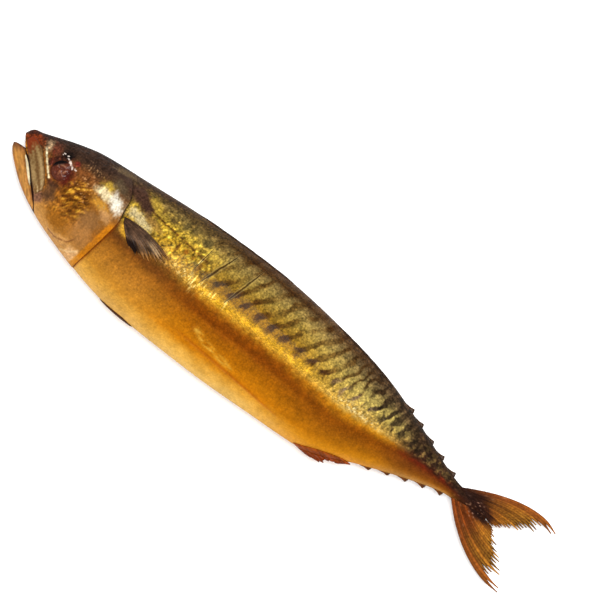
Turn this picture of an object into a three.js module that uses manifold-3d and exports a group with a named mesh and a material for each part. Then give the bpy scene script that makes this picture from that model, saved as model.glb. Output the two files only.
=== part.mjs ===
// A whole smoked mackerel, lying on its right flank with the left flank up.
//
// The fish is shaped in its own frame, in millimetres: x runs from the tip of the lower jaw to the tail,
// y from belly to back, and z across the flanks, with the plane of symmetry at z = 0. Every piece is bent
// with the resting fish before it is joined, and the one solid is then centred over the origin.
import * as THREE from "three";
import { mergeVertices } from "three/addons/utils/BufferGeometryUtils.js";
import Module from "manifold-3d";

const wasm = await Module();
wasm.setup();

// Driving dimensions.
const LENGTH = 340; // jaw tip to the tip of the longer tail lobe
const FLESH_END = 309; // where the body runs out between the tail lobes
const HALF_THICKNESS = 21.6; // half of the body's greatest thickness
const WIDEST_SHARE = 0.55; // height of the widest line, as a share of the body's depth from the belly
const BACK_FULLNESS = 2.15; // superellipse powers of the section: 2 is an ellipse
const BELLY_FULLNESS = 1.85;
const REST_SINK = 1.6; // how far the flank is pressed flat where it rests
const TAIL_DROOP = 9; // how far the tail and the head sink towards the surface
const TAIL_DROOP_FROM = 190;
const HEAD_DROOP = 2.4;
const HEAD_DROOP_FROM = 75;

// Side profile: [x, height] of the back and the belly, and [x, share of the half thickness].
const BACK_LINE = [
  [0, 0.4], [2, 8], [4.2, 11.9], [9, 13.5], [16, 16.2], [26, 20], [40, 24], [66, 27.2], [102, 31.2],
  [150, 33.2], [194, 30.2], [225, 25.2], [250, 17.8], [272, 10.1], [284, 6.5], [291, 5.5], [298, 7.5],
  [304, 7], [FLESH_END, 1.2],
];
const BELLY_LINE = [
  [0, 0.4], [1, -2], [5, -6.1], [15, -13.7], [26, -19.5], [41, -25.1], [61, -30.2], [82, -34.2], [102, -35.5],
  [148, -35], [180, -33], [210, -30.6], [222, -27], [235, -20.6], [256, -11.8], [276, -4.6], [284, -2.7],
  [291, -2.5], [298, -4.5], [304, -4], [FLESH_END, 1.2],
];
const GIRTH_LINE = [
  [0, 0], [2, 0.13], [8, 0.3], [16, 0.45], [28, 0.6], [45, 0.77], [66, 0.89], [100, 0.99], [140, 1], [180, 0.93],
  [215, 0.74], [245, 0.49], [268, 0.29], [284, 0.17], [292, 0.14], [300, 0.12], [FLESH_END, 0],
];
const SECTIONS = 62;
const SIDES = 36;
const OUTLINE_STEPS = 2; // steps between the points of a smooth outline

// Open mouth, as the two edges of the gap from the front to the corner.
const UPPER_LIP = [[-3, 13], [2, 7.8], [7, 2.4], [11, -0.9], [16, -5.6], [22, -11.4]];
const MOUTH_CORNER = [25, -15];
const LOWER_LIP = [[20.5, -12], [14.5, -7.3], [9.5, -3], [5, 0.6], [0, 1.5], [-3, 2]];

// Plates and fins that lie on the flanks: outline and height above the skin.
const JAW_PLATE = [[6, 11.5], [13, 12.5], [19, 6], [25.5, -2.5], [28.5, -10.5], [24, -14], [14, -5], [7, 1.5]];
const JAW_PLATE_RISE = 0.6;
const GILL_EDGE = [
  [56, 21], [62.2, 17.5], [64.8, 9], [66.4, 1.5], [65.3, -8.7], [63.5, -19.5], [61.5, -29], [61, -40],
];
const GILL_FRONT = [[40, -40], [37, -22], [38, -8], [43, 8], [50, 19]];
const GILL_RISE = 1.1; // at the rear edge
const GILL_FRONT_SHARE = 0.1; // of that rise, at the front edge
const PECTORAL = [[69, 4.5], [74, 7.6], [82, 8], [92, 6], [103, 2.6], [97, -0.6], [88, -4.2], [79, -5.3], [73, -1]];
const PECTORAL_RISE = 1.2;

// Eyes: a dome in a wider, shallow socket on each side of the head.
const EYE_X = 28;
const EYE_Y = 6.6;
const EYE_RADIUS = 6.4;
const EYE_RISE = 1.2; // dome above the socket's floor
const SOCKET_RADIUS = 7.4;
const SOCKET_DEPTH = 1.1;
const EYE_SIDES = 20;

// Fins that stand in the plane of symmetry.
const FIN_HALF_THICKNESS = 0.8;
const FIRST_DORSAL = { from: 97, to: 150, rise: 0.9 }; // folded down into its groove
const SECOND_DORSAL = { from: 190, to: 229, rise: 1.3 };
const PELVIC = { from: 84, to: 111, rise: 1.2, halfThickness: 2.2 };
const ANAL = [[207, -29], [210, -31.2], [223, -31.2], [228.5, -27.8], [232, -23.5], [230, -20]];
const FIN_ROOT = 4; // how deep a fin is rooted in the flesh
const FOLD_STEPS = 8;
const FOLD_LEAN = 0.6; // below 1 the crest of a folded fin is nearer its front
const FINLETS = 5;
const FINLET_PITCH = 9.2;
const FINLET_LENGTH = 7;
const FINLET_RISE = 2;
const FINLET_ROOT = 2;
const BACK_FINLET_TIP = 244.5; // x of the foremost finlet's tip
const BELLY_FINLET_TIP = 245.7;

// Tail: each lobe is a fan of rays from a root line to the frayed trailing edge.
const RAYS = 13;
const RAY_STEPS = 5;
const RAY_OVERLAP = 1.35; // width of a ray as a share of its pitch
const RAY_HALF_THICKNESS = 0.75; // the rays take turns to be thick and thin
const WEB_HALF_THICKNESS = 0.5;
const RAY_BOW = 0.2; // bend of the innermost ray, as a share of the foremost one's
const RAY_SHOULDER = 0.93; // where a ray starts to narrow to its point
const RAY_FRAY = 0.02; // how much the ray ends fall short, and how that changes from ray to ray
const RAY_FRAY_TURN = 2.4;
const FORK = [313, -0.8];
const UPPER_LOBE = {
  root: [[304, 2.5], [289, 4.6]], bow: [322, 23.6], tip: [LENGTH, 16.6], hollow: [326, 6.2],
};
const LOWER_LOBE = {
  root: [[304, 0.5], [288.5, -1.8]], bow: [310.3, -24.4], tip: [334.2, -25.2], hollow: [328, -8.5],
};

const MERGE = 1e-4;

// A smooth curve through [x, y] points, level at its turning points, as a function of x.
function profile(points) {
  const steps = points.slice(1).map(([x, y], i) => ({ run: x - points[i][0], rise: y - points[i][1] }));
  const slopes = points.map((_, i) => {
    const before = steps[i - 1];
    const after = steps[i];
    if (!before || !after) return (before || after).rise / (before || after).run;
    if (before.rise * after.rise <= 0) return 0;
    return (before.rise + after.rise) / (before.run + after.run);
  });
  return (x) => {
    const last = points.length - 1;
    if (x <= points[0][0]) return points[0][1];
    if (x >= points[last][0]) return points[last][1];
    const i = points.findIndex(([end]) => end > x) - 1;
    const { run } = steps[i];
    const t = (x - points[i][0]) / run;
    const ease = t * t * (3 - 2 * t);
    const level = points[i][1] * (1 - ease) + points[i + 1][1] * ease;
    return level + run * (slopes[i] * t * (1 - t) ** 2 + slopes[i + 1] * t * t * (t - 1));
  };
}

const backAt = profile(BACK_LINE);
const bellyAt = profile(BELLY_LINE);
const girthAt = profile(GIRTH_LINE);

// Height of the middle of the resting fish above the surface, less the droop of its head and tail.
function axisHeight(x) {
  const tail = Math.max(0, (x - TAIL_DROOP_FROM) / (LENGTH - TAIL_DROOP_FROM));
  const head = Math.max(0, 1 - x / HEAD_DROOP_FROM);
  return HALF_THICKNESS - REST_SINK - TAIL_DROOP * tail * tail - HEAD_DROOP * head * head;
}

// Sizes of the body's section at x, with the skin raised by that much.
function sectionAt(x, raise = 0) {
  const back = backAt(x) + raise;
  const belly = bellyAt(x) - raise;
  const widest = belly + WIDEST_SHARE * (back - belly);
  return { widest, upper: back - widest, lower: widest - belly, half: HALF_THICKNESS * girthAt(x) + raise };
}

// Half of the body's thickness at a place in the side view.
function flankAt(x, y) {
  const { widest, upper, lower, half } = sectionAt(x);
  const power = y > widest ? BACK_FULLNESS : BELLY_FULLNESS;
  const away = Math.abs(y - widest) / (y > widest ? upper : lower);
  return half * Math.max(0, 1 - away ** power) ** (1 / power);
}

// Lays a geometry of the straight fish along the drooping axis of the resting one.
function bend(geometry) {
  const place = geometry.attributes.position;
  for (let i = 0; i < place.count; i++) place.setZ(i, place.getZ(i) + axisHeight(place.getX(i)));
  return geometry;
}

function closed(geometry) {
  geometry.deleteAttribute("normal");
  geometry.deleteAttribute("uv");
  const merged = mergeVertices(geometry, MERGE);
  const vertProperties = merged.attributes.position.array;
  return new wasm.Manifold(
    new wasm.Mesh({ numProp: 3, vertProperties, triVerts: new Uint32Array(merged.index.array) }),
  );
}

// The body with its skin raised by a function of x: a sphere drawn out over the profiles.
function bodySolid(raiseAt = () => 0) {
  const geometry = new THREE.SphereGeometry(1, SIDES, SECTIONS);
  const { position, uv } = geometry.attributes;
  for (let i = 0; i < position.count; i++) {
    const x = (FLESH_END * (1 - Math.cos(Math.PI * (1 - uv.getY(i))))) / 2;
    const turn = 2 * Math.PI * uv.getX(i);
    const up = -Math.cos(turn);
    const out = Math.sin(turn);
    const { widest, upper, lower, half } = sectionAt(x, girthAt(x) > 0 ? raiseAt(x) : 0);
    const power = 2 / (up > 0 ? BACK_FULLNESS : BELLY_FULLNESS);
    const y = widest + (up > 0 ? upper : lower) * Math.sign(up) * Math.abs(up) ** power;
    position.setXYZ(i, x, y, half * Math.sign(out) * Math.abs(out) ** power);
  }
  return closed(bend(geometry));
}

// A slab with that side outline, evenly thick about the plane of symmetry.
function slab(points, halfThickness, smooth = false) {
  const outline = points.map(([x, y]) => new THREE.Vector2(x, y));
  const shape = new THREE.Shape();
  if (smooth) shape.moveTo(outline[0].x, outline[0].y).splineThru([...outline.slice(1), outline[0]]);
  else shape.setFromPoints(outline);
  const geometry = new THREE.ExtrudeGeometry(shape, {
    depth: 2 * halfThickness,
    bevelEnabled: false,
    curveSegments: OUTLINE_STEPS,
  });
  return closed(bend(geometry.translate(0, 0, -halfThickness)));
}

// A plate on both flanks: the raised skin inside a side outline.
function flankPlate(points, raiseAt, smooth = true) {
  return bodySolid(raiseAt).intersect(slab(points, 2 * HALF_THICKNESS, smooth));
}

function gillCover() {
  const front = GILL_FRONT[1][0];
  const rear = GILL_EDGE[3][0];
  const raiseAt = (x) => GILL_RISE * THREE.MathUtils.clamp((x - front) / (rear - front), GILL_FRONT_SHARE, 1);
  return flankPlate([...GILL_EDGE, ...GILL_FRONT], raiseAt, false);
}

function mouthGap() {
  return slab([...UPPER_LIP, MOUTH_CORNER, ...LOWER_LIP], HALF_THICKNESS);
}

// A flattened ball on one flank of the head, reaching that far out of the skin.
function eyeBall(side, radius, depth, reach) {
  const geometry = new THREE.SphereGeometry(1, EYE_SIDES, EYE_SIDES / 2).rotateX(Math.PI / 2);
  const level = flankAt(EYE_X, EYE_Y) + reach - depth;
  return closed(bend(geometry.scale(radius, radius, depth).translate(EYE_X, EYE_Y, side * level)));
}

// A fin folded down along the back (side 1) or the belly (side -1), highest a third of the way along.
function foldedFin({ from, to, rise, halfThickness = FIN_HALF_THICKNESS }, edgeAt, side) {
  const at = (share) => from + (to - from) * share;
  const shares = Array.from({ length: FOLD_STEPS + 1 }, (_, i) => i / FOLD_STEPS);
  const crest = (share) => rise * Math.sin(Math.PI * share ** FOLD_LEAN);
  const outer = shares.map((share) => [at(share), edgeAt(at(share)) + side * crest(share)]);
  const root = [to, from].map((x) => [x, edgeAt(x) - side * FIN_ROOT]);
  return slab([...outer, ...root], halfThickness);
}

// A small pointed fin between the dorsal or anal fin and the tail.
function finlet(tip, edgeAt, side) {
  const start = tip - FINLET_LENGTH;
  const foot = tip - FINLET_LENGTH / 4;
  const corner = (x, rise) => [x, edgeAt(x) + side * rise];
  const outline = [corner(start, -FINLET_ROOT / 4), corner(tip, FINLET_RISE), corner(foot, -FINLET_ROOT / 2)];
  return slab([...outline, corner(start, -FINLET_ROOT)], FIN_HALF_THICKNESS);
}

function finlets() {
  return Array.from({ length: FINLETS }, (_, i) => [
    finlet(BACK_FINLET_TIP + i * FINLET_PITCH, backAt, 1),
    finlet(BELLY_FINLET_TIP + i * FINLET_PITCH, bellyAt, -1),
  ]).flat();
}

// A point on the quadratic curve from a to c that is drawn towards b.
function bow(a, b, c, t) {
  return a.map((_, k) => (1 - t) ** 2 * a[k] + 2 * t * (1 - t) * b[k] + t * t * c[k]);
}

// One tail lobe: curved rays that fan out from the root line and end unevenly.
function tailLobe({ root, bow: leading, tip, hollow }) {
  const mix = (a, b, t) => a.map((_, k) => a[k] + (b[k] - a[k]) * t);
  const rayPoint = (share, t) => {
    const foot = mix(root[0], root[1], share);
    const end = bow(FORK, hollow, tip, share);
    return bow(foot, mix(mix(foot, end, 0.5), leading, (RAY_BOW + (1 - RAY_BOW) * share) ** 3), end, t);
  };
  return Array.from({ length: RAYS }, (_, i) => {
    const centre = (i + 0.5) / RAYS;
    const half = RAY_OVERLAP / RAYS / 2;
    const reach = 1 - RAY_FRAY * (1 + Math.sin(RAY_FRAY_TURN * i));
    const edge = (share) =>
      Array.from({ length: RAY_STEPS }, (_, k) => rayPoint(share, (RAY_SHOULDER * reach * k) / (RAY_STEPS - 1)));
    const outline = [...edge(centre - half), rayPoint(centre, reach), ...edge(centre + half).reverse()];
    return slab(outline, i % 2 ? RAY_HALF_THICKNESS : WEB_HALF_THICKNESS);
  });
}

function smokedFish() {
  const both = (make) => [1, -1].map(make);
  const skull = bodySolid().add(flankPlate(JAW_PLATE, () => JAW_PLATE_RISE));
  const openHead = [
    mouthGap(),
    ...both((side) => eyeBall(side, SOCKET_RADIUS, SOCKET_DEPTH * 2, SOCKET_DEPTH)),
  ].reduce((fish, piece) => fish.subtract(piece), skull);
  return [
    ...both((side) => eyeBall(side, EYE_RADIUS, EYE_RISE * 2, EYE_RISE - SOCKET_DEPTH)),
    gillCover(),
    flankPlate(PECTORAL, () => PECTORAL_RISE),
    foldedFin(FIRST_DORSAL, backAt, 1),
    foldedFin(SECOND_DORSAL, backAt, 1),
    foldedFin(PELVIC, bellyAt, -1),
    slab(ANAL, FIN_HALF_THICKNESS),
    ...finlets(),
    ...tailLobe(UPPER_LOBE),
    ...tailLobe(LOWER_LOBE),
  ].reduce((fish, piece) => fish.add(piece), openHead);
}

// Cuts off what would lie below the surface that the fish rests on, which leaves a flat spot.
function setDown(fish) {
  const under = new THREE.BoxGeometry(2 * LENGTH, LENGTH, HALF_THICKNESS).translate(0, 0, -HALF_THICKNESS / 2);
  return fish.subtract(closed(under));
}

function geometryOf(solid) {
  const { vertProperties, triVerts } = solid.getMesh();
  const geometry = new THREE.BufferGeometry();
  geometry.setAttribute("position", new THREE.BufferAttribute(vertProperties, 3));
  geometry.setIndex(new THREE.BufferAttribute(triVerts, 1));
  geometry.computeBoundingBox();
  return geometry;
}

const skin = new THREE.MeshStandardMaterial({ color: 0xc08a2e, roughness: 0.38, metalness: 0.35 });
const fish = new THREE.Mesh(geometryOf(setDown(smokedFish())), skin);
fish.name = "smoked_mackerel";

const middle = fish.geometry.boundingBox.getCenter(new THREE.Vector3());
const part = new THREE.Group();
part.position.set(-middle.x, -middle.y, 0);
part.add(fish);

export default part;
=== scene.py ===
# %% [markdown]
# # A whole smoked mackerel
# This lesson dresses the solid of a smoked fish that lies on its right flank. Everything is worked out in
# the fish's own frame, in millimetres: x runs from the tip of the lower jaw to the tail, y from belly to
# back, and z out of the flanks. One function, `seat`, then sets a point down in the shared frame, in metres.
# That keeps every size readable, and the pieces land exactly where the solid is.

# %% Load the frame
import math
import random
from bisect import bisect_right

import bmesh
import bpy
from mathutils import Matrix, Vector, noise


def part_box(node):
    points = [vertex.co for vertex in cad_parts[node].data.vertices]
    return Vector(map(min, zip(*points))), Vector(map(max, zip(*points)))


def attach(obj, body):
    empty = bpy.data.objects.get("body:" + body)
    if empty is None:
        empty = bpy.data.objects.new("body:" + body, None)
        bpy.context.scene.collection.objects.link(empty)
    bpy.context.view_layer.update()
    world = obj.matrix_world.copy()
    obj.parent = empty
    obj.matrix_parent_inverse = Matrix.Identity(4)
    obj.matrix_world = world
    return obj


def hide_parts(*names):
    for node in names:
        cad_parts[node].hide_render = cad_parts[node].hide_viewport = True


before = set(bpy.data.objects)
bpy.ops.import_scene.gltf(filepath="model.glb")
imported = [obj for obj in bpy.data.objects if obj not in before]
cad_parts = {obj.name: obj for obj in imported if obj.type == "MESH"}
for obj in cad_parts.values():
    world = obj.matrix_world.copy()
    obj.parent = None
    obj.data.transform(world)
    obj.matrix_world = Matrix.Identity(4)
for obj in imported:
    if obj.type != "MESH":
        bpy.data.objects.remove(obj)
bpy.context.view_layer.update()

NODE = "smoked_mackerel"
node_low, node_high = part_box(NODE)
print("the solid measures", [round(v * 1000, 1) for v in node_high - node_low], "mm")

# %% [markdown]
# ## The lines of the fish
# A boat builder draws a hull by its lines, and a fish can be drawn the same way: the line of the back, the
# line of the belly and the half thickness along the body. A smooth curve through a few points of each is
# enough. Blender's own curves could hold them, but a plain function of x is easier to ask for a height at
# any place.

# %% Lines of the body
LENGTH = 340.0
FLESH_END = 309.0
HALF_THICKNESS = 21.6
WIDEST_SHARE = 0.55
BACK_FULLNESS = 2.15
BELLY_FULLNESS = 1.85
BACK_LINE = [
    (0, 0.4), (2, 8), (4.2, 11.9), (9, 13.5), (16, 16.2), (26, 20), (40, 24), (66, 27.2), (102, 31.2),
    (150, 33.2), (194, 30.2), (225, 25.2), (250, 17.8), (272, 10.1), (284, 6.5), (291, 5.5), (298, 7.5),
    (304, 7), (FLESH_END, 1.2),
]
BELLY_LINE = [
    (0, 0.4), (1, -2), (5, -6.1), (15, -13.7), (26, -19.5), (41, -25.1), (61, -30.2), (82, -34.2),
    (102, -35.5), (148, -35), (180, -33), (210, -30.6), (222, -27), (235, -20.6), (256, -11.8), (276, -4.6),
    (284, -2.7), (291, -2.5), (298, -4.5), (304, -4), (FLESH_END, 1.2),
]
GIRTH_LINE = [
    (0, 0), (2, 0.13), (8, 0.3), (16, 0.45), (28, 0.6), (45, 0.77), (66, 0.89), (100, 0.99), (140, 1),
    (180, 0.93), (215, 0.74), (245, 0.49), (268, 0.29), (284, 0.17), (292, 0.14), (300, 0.12), (FLESH_END, 0),
]


def smooth_line(points):
    """A smooth curve through (x, y) points, level at its turning points, as a function of x."""
    starts = [x for x, _ in points]
    runs = [b[0] - a[0] for a, b in zip(points, points[1:])]
    rises = [b[1] - a[1] for a, b in zip(points, points[1:])]
    slopes = [rises[0] / runs[0]]
    for i in range(1, len(runs)):
        turning = rises[i - 1] * rises[i] <= 0
        slopes.append(0.0 if turning else (rises[i - 1] + rises[i]) / (runs[i - 1] + runs[i]))
    slopes.append(rises[-1] / runs[-1])

    def at(x):
        if x <= starts[0]:
            return points[0][1]
        if x >= starts[-1]:
            return points[-1][1]
        i = bisect_right(starts, x) - 1
        t = (x - starts[i]) / runs[i]
        level = points[i][1] + rises[i] * t * t * (3 - 2 * t)
        return level + runs[i] * (slopes[i] * t * (1 - t) ** 2 + slopes[i + 1] * t * t * (t - 1))

    return at


back_at = smooth_line(BACK_LINE)
belly_at = smooth_line(BELLY_LINE)
girth_at = smooth_line(GIRTH_LINE)


def half_at(x):
    """Half the thickness of the body at x."""
    return HALF_THICKNESS * girth_at(x)


print("greatest depth", round(max(back_at(x) - belly_at(x) for x in range(int(FLESH_END))), 1), "mm")

# %% [markdown]
# ## Setting the fish down
# The flesh gives where the fish rests, so its underside is pressed flat, and the head and the tail sink a
# little. `seat` does all of that to any point, so no piece has to know about it.

# %% Seat a point in the frame
MM = 0.001
BACK_TOP = 33.45  # highest point of the back with its folded fin
REST_SINK = 1.6
TAIL_DROOP, TAIL_DROOP_FROM = 9.0, 190.0
HEAD_DROOP, HEAD_DROOP_FROM = 2.4, 75.0
SKIN_FLOOR = 0.15  # the skin stays this much above the plates that are pressed under it


def axis_height(x):
    """Height of the fish's middle plane above the surface it rests on."""
    tail = max(0.0, (x - TAIL_DROOP_FROM) / (LENGTH - TAIL_DROOP_FROM))
    head = max(0.0, 1 - x / HEAD_DROOP_FROM)
    return HALF_THICKNESS - REST_SINK - TAIL_DROOP * tail * tail - HEAD_DROOP * head * head


def seat(x, y, z, floor=0.0):
    """A point of the straight fish, in millimetres, set down in the frame, in metres."""
    lift = max(z + axis_height(x), floor)
    return Vector((node_low.x + x * MM, node_high.y + (y - BACK_TOP) * MM, lift * MM))


print("the tail's tip hangs", round(axis_height(LENGTH), 1), "mm above the surface")

# %% [markdown]
# ## Small tools for shaping and colour
# Smoked skin changes colour over a few millimetres, so each point of a mesh carries its own colour in an
# attribute called `tint`. An image would do that too, but a formula needs no file and follows the shape.
# Colours are mixed as the eye sees them and turned into light at the end. The lamps are stronger than the
# skin needs, which turns the floor plain white, so the skin's own colours are darker by the same share.

# %% Shaping and colour tools
EXPOSED = 1.6  # the lamps are this much too strong, and the skin's colours this much darker


def ease(low, high, value):
    """0 below low, 1 above high, smooth between them. Low may be the larger one."""
    t = min(1.0, max(0.0, (value - low) / (high - low)))
    return t * t * (3 - 2 * t)


def hump(value, middle, width):
    """1 at the middle, fading to both sides."""
    return math.exp(-(((value - middle) / width) ** 2))


def blend(a, b, share):
    """A colour or a point on the way from a to b."""
    return tuple(p + (q - p) * share for p, q in zip(a, b))


def ramp(stops, place):
    """The colour at a place on a list of (place, colour) stops."""
    if place <= stops[0][0]:
        return stops[0][1]
    for (low, first), (high, second) in zip(stops, stops[1:]):
        if place <= high:
            return blend(first, second, (place - low) / (high - low))
    return stops[-1][1]


def toned(colour, change):
    """A colour made lighter or darker by a share."""
    return tuple(part * (1 + change) for part in colour)


def light(colour, fleck=1.0):
    """The skin's own colour from one of 0 to 255 as the eye sees it. Alpha is the strength of the grain."""
    scaled = [min(1.0, max(0.0, part / 255)) for part in colour]
    return (*[(p / 12.92 if p < 0.04045 else ((p + 0.055) / 1.055) ** 2.4) / EXPOSED for p in scaled], fleck)


class Skin:
    """The point being shaped. The noise reads how far the skin has turned round the back or the belly."""

    turned = 0.0


def rough_noise(x, y, size, layer=0.0):
    """Noise from about -1 to 1 with features of that size in millimetres."""
    return noise.noise(Vector((x / size, y / size, layer + Skin.turned / size)))


def way_from_path(x, y, path):
    """Distance in the side view from a point to a path of straight pieces."""
    best = 1e9
    for (ax, ay), (bx, by) in zip(path, path[1:]):
        run, rise = bx - ax, by - ay
        share = ((x - ax) * run + (y - ay) * rise) / (run * run + rise * rise)
        share = min(1.0, max(0.0, share))
        best = min(best, math.hypot(x - ax - run * share, y - ay - rise * share))
    return best


print("a middle gold as the skin's colour:", [round(v, 3) for v in light((210, 150, 50))])

# %% [markdown]
# ## Colours of the skin
# Hot smoke turns the belly pale gold and the lower flank orange-brown, while the back stays olive with dark
# waves. The bright yellow line along the flank is partly the skin's gold and partly a painted highlight, the
# darker band just below it is partly painted shade, and the darkest stops at the top of the back are partly
# painted shade where the skin turns away. Four ramps from belly to back give that at the shoulder, at the
# middle, behind it and at the root of the tail, and the fish fades from one to the next. A colour ramp node
# could hold each of them, but the fade and the ragged borders are easier to write as a function.

# %% Ramps from belly to back
# Near the middle of each ramp a bright stop holds the line of the flank, partly painted highlight, with
# darker stops just below it, partly painted shade.
SHOULDER_RAMP = [
    (0.03, (226, 172, 84)), (0.1, (216, 157, 62)), (0.16, (198, 134, 42)), (0.24, (182, 120, 38)),
    (0.34, (160, 101, 29)), (0.4, (142, 86, 24)), (0.46, (104, 58, 18)), (0.5, (104, 64, 20)),
    (0.55, (136, 98, 44)), (0.62, (168, 126, 38)), (0.7, (184, 142, 36)), (0.8, (186, 152, 50)),
    (0.86, (150, 122, 56)), (0.91, (122, 100, 54)), (0.95, (76, 56, 36)), (1.0, (66, 40, 20)),
]
MIDDLE_RAMP = [
    (0.03, (232, 182, 92)), (0.1, (222, 158, 54)), (0.16, (204, 122, 10)), (0.22, (192, 116, 10)),
    (0.28, (168, 98, 6)), (0.34, (152, 86, 8)), (0.4, (120, 58, 4)), (0.45, (124, 64, 4)),
    (0.48, (146, 88, 12)), (0.52, (174, 128, 34)), (0.57, (154, 114, 14)), (0.61, (126, 86, 4)),
    (0.66, (124, 88, 14)), (0.72, (138, 106, 36)), (0.78, (152, 124, 54)), (0.85, (152, 127, 66)),
    (0.91, (116, 93, 52)), (0.95, (90, 68, 42)), (1.0, (80, 52, 28)),
]
REAR_RAMP = [
    (0.03, (216, 142, 42)), (0.1, (206, 132, 20)), (0.16, (182, 111, 12)), (0.22, (162, 96, 12)),
    (0.3, (144, 80, 10)), (0.38, (134, 70, 6)), (0.42, (150, 86, 10)), (0.47, (190, 124, 20)),
    (0.52, (206, 160, 70)), (0.57, (170, 136, 62)), (0.67, (178, 154, 78)), (0.76, (158, 138, 74)),
    (0.84, (118, 98, 58)), (0.9, (94, 74, 48)), (1.0, (78, 54, 34)),
]
TAIL_OLIVE = (146, 116, 62)
TAIL_RAMP_FROM, TAIL_RAMP_FULL = 238, 262  # the tail's ramp fades in between these places
TAIL_RAMP = [
    (0.03, (182, 128, 62)), (0.1, (170, 108, 38)), (0.16, (146, 85, 22)), (0.22, (128, 70, 17)),
    (0.34, (112, 56, 17)), (0.42, (94, 38, 12)), (0.5, (66, 30, 16)), (0.57, (56, 30, 18)),
    (0.7, (52, 35, 23)), (1.0, (64, 44, 30)),
]


def flank_colour(x, y, share):
    """Colour of the skin behind the head at x and a share of the depth from belly to back."""
    share += 0.016 * rough_noise(x, y * 2, 9, 2.9) + 0.012 * rough_noise(x, y * 1.5, 3, 5.9)
    if 0.38 < share < 0.62:
        share += 0.02 * rough_noise(x, y, 2.1, 1.4) * ease(0.38, 0.46, share) * ease(0.62, 0.56, share)
    colour = blend(ramp(SHOULDER_RAMP, share), ramp(MIDDLE_RAMP, share), ease(92, 132, x))
    colour = blend(colour, ramp(REAR_RAMP, share), ease(165, 226, x))
    colour = toned(colour, 0.16 * hump(x, 192, 24) * ease(0.62, 0.7, share))
    if x > TAIL_RAMP_FROM:
        patch = rough_noise(x * 1.3, y, 3.4, 7.1) + 0.5 * rough_noise(x, y, 1.4, 4.1)
        olive = ease(-0.05, 0.3, patch) * ease(0.5, 0.6, share) * ease(0.97, 0.85, share) * ease(290, 272, x)
        tail = blend(ramp(TAIL_RAMP, share), TAIL_OLIVE, 0.62 * olive)
        colour = blend(colour, tail, ease(TAIL_RAMP_FROM, TAIL_RAMP_FULL, x))
    return colour


print("middle of the flank:", [round(v) for v in flank_colour(160, 2.5, 0.54)])

# %% [markdown]
# ## The waves on the back
# A mackerel's back carries dark waves that lean towards the tail and end in a row of dots. A wave texture
# node could draw even stripes, but here the spacing, the lean and the strength all change along the fish, so
# the waves come from a cosine whose phase is bent by noise.

# %% Dark waves
WAVE_PITCH = 8.7
REAR_PITCH = 6.2
REAR_FROM = 200.0
FIRST_DOT = 152.9  # x of one of the dots, which sets the phase
DOT_SHARE = 0.63  # height of the row of dots as a share of the depth
BAND_SHARE = 0.945  # height of the dark band along the back
FRONT_LEAN, REAR_LEAN = 0.76, 0.3


def wave_count(x):
    """Number of waves in front of x."""
    return x / WAVE_PITCH if x < REAR_FROM else REAR_FROM / WAVE_PITCH + (x - REAR_FROM) / REAR_PITCH


def wave_at(x, y, up, rear):
    """The leaning cosine wave, -1 to 1."""
    lean = FRONT_LEAN + (REAR_LEAN - FRONT_LEAN) * rear
    dots = belly_at(x) + DOT_SHARE * (back_at(x) - belly_at(x))
    wobble = 2.0 * rough_noise(x, y, 11, 3.1) + 1.3 * rough_noise(x, y, 4.5, 7.7)
    wobble += 0.6 * rough_noise(x, y, 1.8, 9.7)
    along = x - lean * max(0.0, y - dots) + wobble * (0.55 + 0.55 * up + 0.7 * rear)
    return math.cos(2 * math.pi * (wave_count(along) - wave_count(FIRST_DOT)))


def dark_wave(x, y, share):
    """Strength of the dark pattern, 0 to 1."""
    up = (share - DOT_SHARE) / (BAND_SHARE - DOT_SHARE)
    if up < -0.3:
        return 0.0
    rear = ease(194, 222, x)
    wave = wave_at(x, y, up, rear)
    grain = rough_noise(x, y, 3.2, 1.3) + 0.5 * rough_noise(x, y, 1.3, 8.3)
    weight = 0.6 + 0.5 * rough_noise(x, y, 5.5, 2.5) - 0.22 * ease(0.15, 0.5, up) + 0.35 * ease(0.72, 1.0, up)
    strength = ease(-0.15, 0.75, wave + 0.62 * grain) * min(1.0, max(0.1, weight))
    dot = ease(-0.1, 0.6, wave + 0.4 * grain) * hump(up, 0.05, 0.17)
    dot *= 0.95 + 0.35 * rough_noise(x, 0, 9, 4.0)
    strength = max(strength, dot)
    if rear > 0:
        torn = rough_noise(x + 1.4 * grain, y / 3, 2.4, 5.1) + 0.6 * rough_noise(x, y, 2.2, 6.1)
        crowd = 0.4 * ease(0.35, 0.9, up) + 0.45 * ease(222, 250, x)
        marks = ease(0.15, 0.85, 0.75 * wave + 0.7 * torn + crowd) * (0.8 + 0.3 * rough_noise(x, y, 4, 3.9))
        strength += (marks - strength) * rear
    strength *= ease(-0.2, 0.0, up + 0.14 * grain)
    front = ease(134, 104, x)
    if front > 0:
        spot = rough_noise(x, y * 1.5, 5.5, 5.5) + 0.4 * rough_noise(x, y, 2.2, 1.1)
        blotch = ease(0.0, 0.4, spot + 0.4 * ease(0.6, 0.95, up)) * ease(0.4, 0.7, up)
        strength = strength * (1 - 0.7 * front) + 0.55 * blotch * front * ease(80, 98, x)
    crest = hump(share + 0.014 * grain, BAND_SHARE, 0.02) * (0.85 + 0.4 * rough_noise(x, 0, 6, 1.9))
    crest *= 1 - 0.45 * ease(165, 190, x)
    return min(1.0, max(strength, crest)) * (1 - 0.5 * ease(250, 272, x)) * ease(66, 76, x)


print("strength at a dot:", round(dark_wave(FIRST_DOT, 8.2, DOT_SHARE), 2))
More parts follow.
